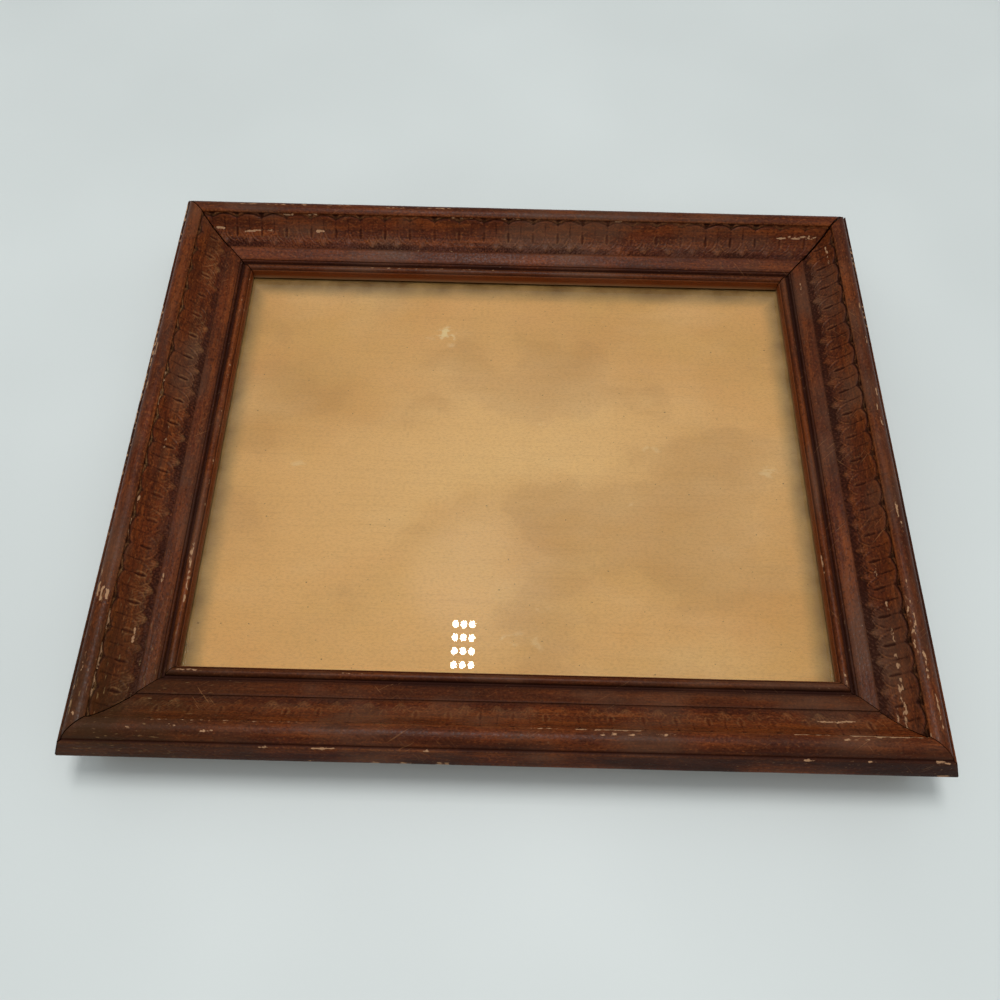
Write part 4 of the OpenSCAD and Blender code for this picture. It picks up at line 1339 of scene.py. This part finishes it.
# %% The hardboard
FIBRE_PATTERNS = {
    "fibres": (0.8, 5, 3.0, 0.40, 0.68, 0.85),
    "flecks": (1.6, 3, 2.0, 0.60, 0.72, 0.60),
}
STAIN_PATTERNS = {
    "damp_and_edge_shade": (90, 1, 2.0, 0.45, 0.70, 0.35),
    "dust": (25, 1, 5.0, 0.52, 0.85, 0.30),
}
SCREEN_MESH = 1.1 * MM


def hardboard():
    """Pressed brown fibre: dull, with the screen's mesh in it and paler flecks."""
    finish, tree, shader = new_finish("screen_backed_hardboard")
    spot = add(tree, "ShaderNodeTexCoord").outputs["Object"]
    seen = grown(tree, spot, FIBRE_PATTERNS | STAIN_PATTERNS)
    tint = add(tree, MIX, {0: seen["fibres"], 6: colour("#6f4a2a"), 7: colour("#4c301a")}, data_type="RGBA")
    for name, over in (("flecks", "#94703f"), ("damp_and_edge_shade", "#3f2816"), ("dust", "#86745a")):
        tint = add(tree, MIX, {0: seen[name], 6: tint, 7: colour(over)}, data_type="RGBA")
    shader.inputs["Specular IOR Level"].default_value = 0.3
    axes = add(tree, "ShaderNodeSeparateXYZ", {0: spot}).outputs
    wires = [add(tree, MATH, {0: axis, 1: math.tau / SCREEN_MESH}, operation="MULTIPLY")
             for axis in axes[:2]]
    wires = [add(tree, MATH, {0: wire}, operation="SINE") for wire in wires]
    mesh = add(tree, MATH, {0: wires[0], 1: wires[1]}, operation="MULTIPLY")
    woven = add(tree, MATH, {0: seen["fibres"], 1: 0.8, 2: mesh}, operation="MULTIPLY_ADD")
    close_finish(tree, shader, tint, roughness=0.82, height=woven, depth=0.15 * MM, strength=0.8)
    return finish


give_finish(hardboard(), "back_board")

# %% The corrugated board
FLUTE_PITCH = 7 * MM


def corrugated_board():
    """Brown paper over flutes: dull tan, with soft stripes where the flutes lie."""
    finish, tree, shader = new_finish("corrugated_board")
    spot = add(tree, "ShaderNodeTexCoord").outputs["Object"]
    seen = grown(tree, spot, FIBRE_PATTERNS)
    along = add(tree, "ShaderNodeSeparateXYZ", {0: spot}).outputs[0]
    flute = add(tree, MATH, {0: along, 1: math.tau / FLUTE_PITCH}, operation="MULTIPLY")
    flute = add(tree, MATH, {0: flute}, operation="SINE")
    shade = add(tree, RANGE, {0: flute, 1: -1.0, 2: 1.0, 4: 0.35})
    tint = add(tree, MIX, {0: shade, 6: colour("#b78d5c"), 7: colour("#a1774a")}, data_type="RGBA")
    for name, over in (("fibres", "#8d6539"), ("flecks", "#d0ab7c")):
        tint = add(tree, MIX, {0: seen[name], 6: tint, 7: colour(over)}, data_type="RGBA")
    close_finish(tree, shader, tint, roughness=0.88, height=flute, depth=0.1 * MM, strength=0.6)
    return finish


give_finish(corrugated_board(), "filler_board")

# %% [markdown]
# ## Metal finishes
#
# Four metals hold the frame together. The V-shaped nails in the corners are blued
# steel: nearly black, a little blue, with rust where the blue has gone. The turn
# buttons are pressed from zinc-plated steel, whose plating has dulled in soft grey
# clouds. The screws are bright steel gone a little brown, and the hangers are steel
# with a thin brass plating that has tarnished. All four are one recipe with other
# colours: a metal, clouds of tarnish that are also rougher, small spots of rust, and
# fine rubbing marks. The table gives each metal's bright, tarnished and rusty colour,
# its roughness where it is bright, and how the names of its pieces start.

# %% The metals' finishes
METAL_PATTERNS = {
    "clouds": (5, 1.5, 4.0, 0.40, 0.65, 0.75),
    "rust": (1.8, 1, 5.0, 0.60, 0.72, 0.80),
    "rubbing": (0.35, 12, 2.0, 0.3, 0.7, 1.0),
}
METALS = {
    "blued_steel": ("#2f343c", "#1d2026", "#5a3620", 0.34, ("v_nails_",)),
    "zinc_plated_steel": ("#c3c6c9", "#8e9295", "#7a5a3c", 0.36, ("turn_button_",)),
    "screw_steel": ("#a9a59d", "#6f6a62", "#6b4526", 0.32, ()),
    "brass_plated_steel": ("#c9a355", "#8a6a35", "#5b4326", 0.30, ("hanger_strap_", "hanger_ring_")),
}
TARNISH_ROUGHENS = 0.22
RUST_ROUGHENS = 0.3
RUST_HIDES_METAL = (0.2, 0.7)


def metal(name, bright, tarnished, rusty, roughness):
    """Old metal: it mirrors dimly, less where it has tarnished and not where it rusts."""
    finish, tree, shader = new_finish(name)
    spot = add(tree, "ShaderNodeTexCoord").outputs["Object"]
    seen = grown(tree, spot, METAL_PATTERNS)
    tint = add(tree, MIX, {0: seen["clouds"], 6: colour(bright), 7: colour(tarnished)}, data_type="RGBA")
    tint = add(tree, MIX, {0: seen["rust"], 6: tint, 7: colour(rusty)}, data_type="RGBA")
    metallic = add(tree, RANGE, {0: seen["rust"], 1: RUST_HIDES_METAL[0], 2: RUST_HIDES_METAL[1],
                                 3: 1.0, 4: 0.0})
    tree.links.new(metallic.outputs[0], shader.inputs["Metallic"])
    rough = add(tree, RANGE, {0: seen["clouds"], 3: roughness, 4: roughness + TARNISH_ROUGHENS})
    rough = add(tree, MATH, {0: seen["rust"], 1: RUST_ROUGHENS, 2: rough}, operation="MULTIPLY_ADD")
    close_finish(tree, shader, tint, rough, height=seen["rubbing"], depth=0.02 * MM, strength=0.6)
    return finish


metals = {}
for name, (*looks, starts) in METALS.items():
    metals[name] = metal(name, *looks)
    pieces = [node for node in frame["nodes"] if node.startswith(starts) and not node.endswith("_screws")]
    if pieces:
        give_finish(metals[name], *pieces)

# %% [markdown]
# The buttons, straps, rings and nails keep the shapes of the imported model. Pressed
# and tumbled parts have no knife edges, so two modifiers ease them: one welds the
# loose triangles together, and one rounds every sharp edge by a fraction of a
# millimetre. The rings are round wire and need only the weld. Then a small tree
# shades their faces smoothly and keeps the edges that are still sharp.

# %% Ease the edges of the pressed parts
EASED = {"turn_button_": 0.22 * MM, "hanger_strap_": 0.12 * MM, "v_nails_": 0.06 * MM}
WELD_REACH = 0.002 * MM
SHARP_ANGLE = math.radians(40)
SHADED_SHARP = 0.6
EASED_SEGMENTS = 2


def smooth_faces(tree, shape):
    """Smooth shading, with the edges that turn by more than SHADED_SHARP kept sharp."""
    turns = add(tree, "GeometryNodeInputMeshEdgeAngle").outputs[0]
    sharp = add(tree, MATH, {0: turns, 1: SHADED_SHARP}, operation="GREATER_THAN")
    shape = add(tree, "GeometryNodeSetShadeSmooth", {0: shape}, domain="FACE")
    return add(tree, "GeometryNodeSetShadeSmooth", {0: shape, 1: sharp, 2: False}, domain="EDGE")


def shading_tree():
    tree = bpy.data.node_groups.new("smooth_pressed_metal", "GeometryNodeTree")
    tree.interface.new_socket("Metal", in_out="INPUT", socket_type="NodeSocketGeometry")
    tree.interface.new_socket("Metal", in_out="OUTPUT", socket_type="NodeSocketGeometry")
    given = add(tree, "NodeGroupInput").outputs
    add(tree, "NodeGroupOutput", {0: smooth_faces(tree, given["Metal"])})
    return tree


shading = shading_tree()
for name, node in frame["nodes"].items():
    width = next((w for start, w in EASED.items() if name.startswith(start)), None)
    if width or name.startswith("hanger_ring_"):
        node.modifiers.new("weld", "WELD").merge_threshold = WELD_REACH
        if width:
            ease = node.modifiers.new("ease", "BEVEL")
            ease.width, ease.segments = width, EASED_SEGMENTS
            ease.limit_method, ease.angle_limit = "ANGLE", SHARP_ANGLE
        node.modifiers.new("shade", "NODES").node_group = shading
print("eased:", sum(bool(n.modifiers) for n in frame["nodes"].values()))

# %% [markdown]
# ## Round-headed screws
#
# Eight slotted screws hold the buttons and the hangers. Each is a dome cut from a
# ball, with a slot sawn across it, on a shank with a rolled thread and a point. They
# are alike but for how far each was driven, so one tree makes a screw, puts one on
# every given point, and turns each slot by chance with a fixed seed.

# %% The screw's head
SCREW_INPUTS = {"Places": "Geometry", "Head radius": "Float", "Head height": "Float", "Slot width": "Float",
                "Slot depth": "Float", "Core radius": "Float", "Length": "Float", "Point": "Float",
                "Thread pitch": "Float", "Seed": "Int", "Finish": "Material"}


def screw_head(tree, given):
    """A dome below z = 0, cut from a ball, with the slot sawn out."""
    squares = [add(tree, MATH, {0: given[name], 1: 2.0}, operation="POWER")
               for name in ("Head radius", "Head height")]
    both = add(tree, MATH, {0: squares[0], 1: squares[1]}, operation="ADD")
    twice = add(tree, MATH, {0: given["Head height"], 1: 2.0}, operation="MULTIPLY")
    ball_radius = add(tree, MATH, {0: both, 1: twice}, operation="DIVIDE")
    lift = add(tree, MATH, {0: ball_radius, 1: given["Head height"]}, operation="SUBTRACT")
    lift = add(tree, "ShaderNodeCombineXYZ", {2: lift})
    ball = add(tree, "GeometryNodeMeshUVSphere", {"Segments": 40, "Rings": 24, "Radius": ball_radius})
    ball = add(tree, "GeometryNodeTransform", {0: ball, "Translation": lift})

    wide = add(tree, MATH, {0: ball_radius, 1: 4.0}, operation="MULTIPLY")
    half_wide = add(tree, MATH, {0: ball_radius, 1: 2.0}, operation="MULTIPLY")
    block = add(tree, "ShaderNodeCombineXYZ", {0: wide, 1: wide, 2: wide})
    upper = add(tree, "GeometryNodeMeshCube", {0: block})
    upper = add(tree, "GeometryNodeTransform", {
        0: upper.outputs[0], "Translation": add(tree, "ShaderNodeCombineXYZ", {2: half_wide})})
    dome = add(tree, "GeometryNodeMeshBoolean", {0: ball, 1: upper}, operation="DIFFERENCE", solver="EXACT")
    deep = add(tree, MATH, {0: given["Slot depth"], 1: 2.0}, operation="MULTIPLY")
    blade = add(tree, "ShaderNodeCombineXYZ", {0: wide, 1: given["Slot width"], 2: deep})
    blade = add(tree, "GeometryNodeMeshCube", {0: blade})
    down = add(tree, MATH, {0: given["Head height"], 1: -1.0}, operation="MULTIPLY")
    blade = add(tree, "GeometryNodeTransform", {
        0: blade.outputs[0], "Translation": add(tree, "ShaderNodeCombineXYZ", {2: down})})
    return add(tree, "GeometryNodeMeshBoolean", {0: dome.outputs[0], 1: blade}, operation="DIFFERENCE",
               solver="EXACT")


print("inputs of the screw's tree:", len(SCREW_INPUTS))

# %% The screw's shank
THREADED_SHARE = 0.7
THREAD_STARTS = 0.28
THREAD_RIDGE = 0.25
TIP_RADIUS = 0.1 * MM


def screw_shank(tree, given):
    """The core, its point and its thread, going up from z = 0."""
    plain = add(tree, MATH, {0: given["Length"], 1: given["Point"]}, operation="SUBTRACT")
    core = add(tree, "GeometryNodeMeshCylinder", {"Vertices": 20, "Radius": given["Core radius"],
                                                  "Depth": plain})
    middle = add(tree, MATH, {0: plain, 1: 0.5}, operation="MULTIPLY")
    core = add(tree, "GeometryNodeTransform", {
        0: core.outputs[0], "Translation": add(tree, "ShaderNodeCombineXYZ", {2: middle})})
    tip = add(tree, "GeometryNodeMeshCone", {"Vertices": 20, "Radius Top": TIP_RADIUS,
                                             "Radius Bottom": given["Core radius"], "Depth": given["Point"]})
    tip = add(tree, "GeometryNodeTransform", {
        0: tip.outputs[0], "Translation": add(tree, "ShaderNodeCombineXYZ", {2: plain})})
    threaded = add(tree, MATH, {0: plain, 1: THREADED_SHARE}, operation="MULTIPLY")
    turns = add(tree, MATH, {0: threaded, 1: given["Thread pitch"]}, operation="DIVIDE")
    thread = add(tree, "GeometryNodeCurveSpiral", {
        "Resolution": 16, "Rotations": turns, "Start Radius": given["Core radius"],
        "End Radius": given["Core radius"], "Height": threaded})
    ridge = add(tree, MATH, {0: given["Thread pitch"], 1: THREAD_RIDGE}, operation="MULTIPLY")
    ridge = add(tree, "GeometryNodeCurvePrimitiveCircle", {"Resolution": 4, "Radius": ridge})
    thread = add(tree, "GeometryNodeCurveToMesh", {0: thread, 1: ridge, "Fill Caps": True})
    start = add(tree, MATH, {0: plain, 1: THREAD_STARTS}, operation="MULTIPLY")
    thread = add(tree, "GeometryNodeTransform", {
        0: thread, "Translation": add(tree, "ShaderNodeCombineXYZ", {2: start})})
    return [core, tip, thread]


print("share of the shank with a thread:", THREADED_SHARE)

# %% The screws' whole tree
def screw_tree():
    tree = bpy.data.node_groups.new("slotted_round_head_screws", "GeometryNodeTree")
    for name, kind in SCREW_INPUTS.items():
        tree.interface.new_socket(name, in_out="INPUT", socket_type="NodeSocket" + kind)
    tree.interface.new_socket("Screws", in_out="OUTPUT", socket_type="NodeSocketGeometry")
    given = add(tree, "NodeGroupInput").outputs
    screw = add(tree, "GeometryNodeJoinGeometry")
    for part in [screw_head(tree, given)] + screw_shank(tree, given):
        tree.links.new(part.outputs[0], screw.inputs[0])
    slot_turn = add(tree, "FunctionNodeRandomValue", {0: (0, 0, 0), 1: (0, 0, math.pi),
                                                      "Seed": given["Seed"]}, data_type="FLOAT_VECTOR")
    shape = add(tree, "GeometryNodeInstanceOnPoints", {0: given["Places"], "Instance": screw,
                                                       "Rotation": slot_turn})
    shape = add(tree, "GeometryNodeRealizeInstances", {0: shape})
    shape = smooth_faces(tree, shape)
    shape = add(tree, "GeometryNodeSetMaterial", {0: shape, "Material": given["Finish"]})
    add(tree, "NodeGroupOutput", {0: shape})
    return tree


screws_tree = screw_tree()
print("nodes in the screw's tree:", len(screws_tree.nodes))

# %% Drive the screws
HEAD_RADIUS = 2.6 * MM
FIRST_SCREW_SEED = 4
SCREW_SEATS = {"turn_button_screws": 3.5 * MM, "hanger_screws": 3.2 * MM}
SCREW_TIP = 16 * MM
button_places = [Vector(j["pos_m"]).xy for j in frame["joints"] if j["child"].startswith("turn_button")]
hanger_low, hanger_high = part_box("hanger_screws")
hanger_x = hanger_high[0] - HEAD_RADIUS
hanger_y = (hanger_low[1] + hanger_high[1]) / 2
SCREW_PLACES = {"turn_button_screws": button_places,
                "hanger_screws": [Vector((-hanger_x, hanger_y)), Vector((hanger_x, hanger_y))]}
for seed, (node, places) in enumerate(SCREW_PLACES.items()):
    points = bpy.data.meshes.new("places_" + node)
    points.from_pydata([(x, y, SCREW_SEATS[node]) for x, y in places], [], [])
    holder = with_tree(points, screws_tree, {
        "Head radius": HEAD_RADIUS, "Head height": 1.6 * MM, "Slot width": 0.7 * MM, "Slot depth": 0.9 * MM,
        "Core radius": 1.1 * MM, "Length": SCREW_TIP - SCREW_SEATS[node], "Point": 2.5 * MM,
        "Thread pitch": 1.1 * MM, "Seed": FIRST_SCREW_SEED + seed, "Finish": metals["screw_steel"],
    })
    screws = plain_mesh(holder, "slotted_" + node)
    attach(screws, "frame")
    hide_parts(node)
    print(node, "faces", len(screws.data.polygons))

# %% [markdown]
# ## Felt pads
#
# Four felt pads keep the back off the table or the wall. Felt is matted wool, so a
# pad is a soft-edged disc with a fuzz of loose fibres on its cut side. Bumps alone
# would leave its outline a clean circle. So the disc is roughened by noise, and short
# fibres are scattered over its side, each leaning its own way. A wool fibre is too
# thin to show, so each one here stands for a tuft of several. What would hang below
# the pad is pressed flat by the table.

# %% The felt's finish
def wool_felt():
    """Matted brown wool: dull and soft, with paler fibres that catch the light."""
    finish, tree, shader = new_finish("wool_felt")
    spot = add(tree, "ShaderNodeTexCoord").outputs["Object"]
    seen = grown(tree, spot, {"mottle": (1.4, 1, 3.0, 0.35, 0.65, 1.0),
                              "fibres": (0.3, 6, 2.0, 0.4, 0.7, 0.6)})
    tint = add(tree, MIX, {0: seen["mottle"], 6: colour("#4d3a2a"), 7: colour("#6a5340")}, data_type="RGBA")
    tint = add(tree, MIX, {0: seen["fibres"], 6: tint, 7: colour("#8a7460")}, data_type="RGBA")
    shader.inputs["Sheen Weight"].default_value = 0.3
    shader.inputs["Specular IOR Level"].default_value = 0.2
    close_finish(tree, shader, tint, roughness=0.95, height=seen["fibres"], depth=0.2 * MM, strength=0.9)
    return finish


felt = wool_felt()
print("nodes in the felt's finish:", len(felt.node_tree.nodes))

# %% The pads' discs and their fuzz
PAD_INPUTS = {"Places": "Geometry", "Radius": "Float", "Height": "Float", "Roughening": "Float",
              "Fibres per square metre": "Float", "Fibre length": "Float", "Seed": "Int",
              "Finish": "Material"}
ROUGHENING_GRAINS = 900.0
FIBRE_LEAN = 1.3
FIBRE_TIP = 0.01 * MM
FIBRE_ROOT = 0.035 * MM


def felt_discs(tree, given):
    """A roughened disc on every given point."""
    disc = add(tree, "GeometryNodeMeshCylinder", {"Vertices": 72, "Side Segments": 9, "Fill Segments": 5,
                                                  "Radius": given["Radius"], "Depth": given["Height"]})
    middle = add(tree, MATH, {0: given["Height"], 1: 0.5}, operation="MULTIPLY")
    disc = add(tree, "GeometryNodeTransform", {
        0: disc.outputs[0], "Translation": add(tree, "ShaderNodeCombineXYZ", {2: middle})})
    pads = add(tree, "GeometryNodeInstanceOnPoints", {0: given["Places"], "Instance": disc})
    pads = add(tree, "GeometryNodeRealizeInstances", {0: pads})
    uneven = add(tree, "ShaderNodeTexNoise", {"Vector": add(tree, "GeometryNodeInputPosition"),
                                              "Scale": ROUGHENING_GRAINS, "Detail": 3.0}).outputs["Color"]
    uneven = add(tree, "ShaderNodeVectorMath", {0: uneven, 1: (0.5, 0.5, 0.5)}, operation="SUBTRACT")
    uneven = add(tree, "ShaderNodeVectorMath", {0: uneven, 1: (1, 1, 0)}, operation="MULTIPLY")
    uneven = add(tree, "ShaderNodeVectorMath", {0: uneven, "Scale": given["Roughening"]}, operation="SCALE")
    pads = add(tree, "GeometryNodeSetPosition", {0: pads, "Offset": uneven})
    return add(tree, "GeometryNodeSetShadeSmooth", {0: pads})


def loose_fibres(tree, given, pads):
    """Short fibres on the sides of the pads, each leaning its own way."""
    flatness = add(tree, "ShaderNodeSeparateXYZ", {0: add(tree, "GeometryNodeInputNormal")}).outputs[2]
    flatness = add(tree, MATH, {0: flatness}, operation="ABSOLUTE")
    on_side = add(tree, MATH, {0: flatness, 1: 0.5}, operation="LESS_THAN")
    roots = add(tree, "GeometryNodeDistributePointsOnFaces", {
        0: pads, "Selection": on_side, "Density": given["Fibres per square metre"], "Seed": given["Seed"]})
    fibre = add(tree, "GeometryNodeMeshCone", {"Vertices": 3, "Side Segments": 2, "Radius Top": FIBRE_TIP,
                                               "Radius Bottom": FIBRE_ROOT, "Depth": given["Fibre length"]})
    lean = add(tree, "FunctionNodeRandomValue", {0: (-FIBRE_LEAN,) * 3, 1: (FIBRE_LEAN,) * 3,
                                                 "Seed": given["Seed"]}, data_type="FLOAT_VECTOR")
    lean = add(tree, "FunctionNodeEulerToRotation", {0: lean})
    turned = add(tree, "FunctionNodeRotateRotation", {0: roots.outputs["Rotation"], 1: lean},
                 rotation_space="LOCAL")
    fuzz = add(tree, "GeometryNodeInstanceOnPoints", {0: roots.outputs[0], "Instance": fibre.outputs[0],
                                                      "Rotation": turned})
    return add(tree, "GeometryNodeRealizeInstances", {0: fuzz})


print("inputs of the pads' tree:", len(PAD_INPUTS))

# %% The pads' whole tree
def pad_tree():
    tree = bpy.data.node_groups.new("felt_pads", "GeometryNodeTree")
    for name, kind in PAD_INPUTS.items():
        tree.interface.new_socket(name, in_out="INPUT", socket_type="NodeSocket" + kind)
    tree.interface.new_socket("Pads", in_out="OUTPUT", socket_type="NodeSocketGeometry")
    given = add(tree, "NodeGroupInput").outputs
    pads = felt_discs(tree, given)
    shape = add(tree, "GeometryNodeJoinGeometry")
    for part in (pads, loose_fibres(tree, given, pads)):
        tree.links.new(part.outputs[0], shape.inputs[0])
    axes = add(tree, "ShaderNodeSeparateXYZ", {0: add(tree, "GeometryNodeInputPosition")}).outputs
    on_table = add(tree, MATH, {0: axes[2], 1: 0.0}, operation="MAXIMUM")
    pressed = add(tree, "ShaderNodeCombineXYZ", {0: axes[0], 1: axes[1], 2: on_table})
    shape = add(tree, "GeometryNodeSetPosition", {0: shape, "Position": pressed})
    shape = add(tree, "GeometryNodeSetMaterial", {0: shape, "Material": given["Finish"]})
    add(tree, "NodeGroupOutput", {0: shape})
    return tree


pads_tree = pad_tree()
print("nodes in the pads' tree:", len(pads_tree.nodes))

# %% Put the pads on
PAD_RADIUS = 5 * MM
FIBRES_PER_M2 = 1.6e6
pad_low, pad_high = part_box("bumper_pads")
pad_x, pad_y = pad_high[0] - PAD_RADIUS, pad_high[1] - PAD_RADIUS
points = bpy.data.meshes.new("places_pads")
points.from_pydata([(a * pad_x, b * pad_y, 0) for a in (-1, 1) for b in (-1, 1)], [], [])
holder = with_tree(points, pads_tree, {
    "Radius": PAD_RADIUS - 0.1 * MM, "Height": pad_high[2] - pad_low[2], "Roughening": 0.5 * MM,
    "Fibres per square metre": FIBRES_PER_M2, "Fibre length": 0.9 * MM, "Seed": 3, "Finish": felt,
})
pads = plain_mesh(holder, "fuzzy_felt_pads")
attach(pads, "frame")
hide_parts("bumper_pads")
print("pads: faces", len(pads.data.polygons))
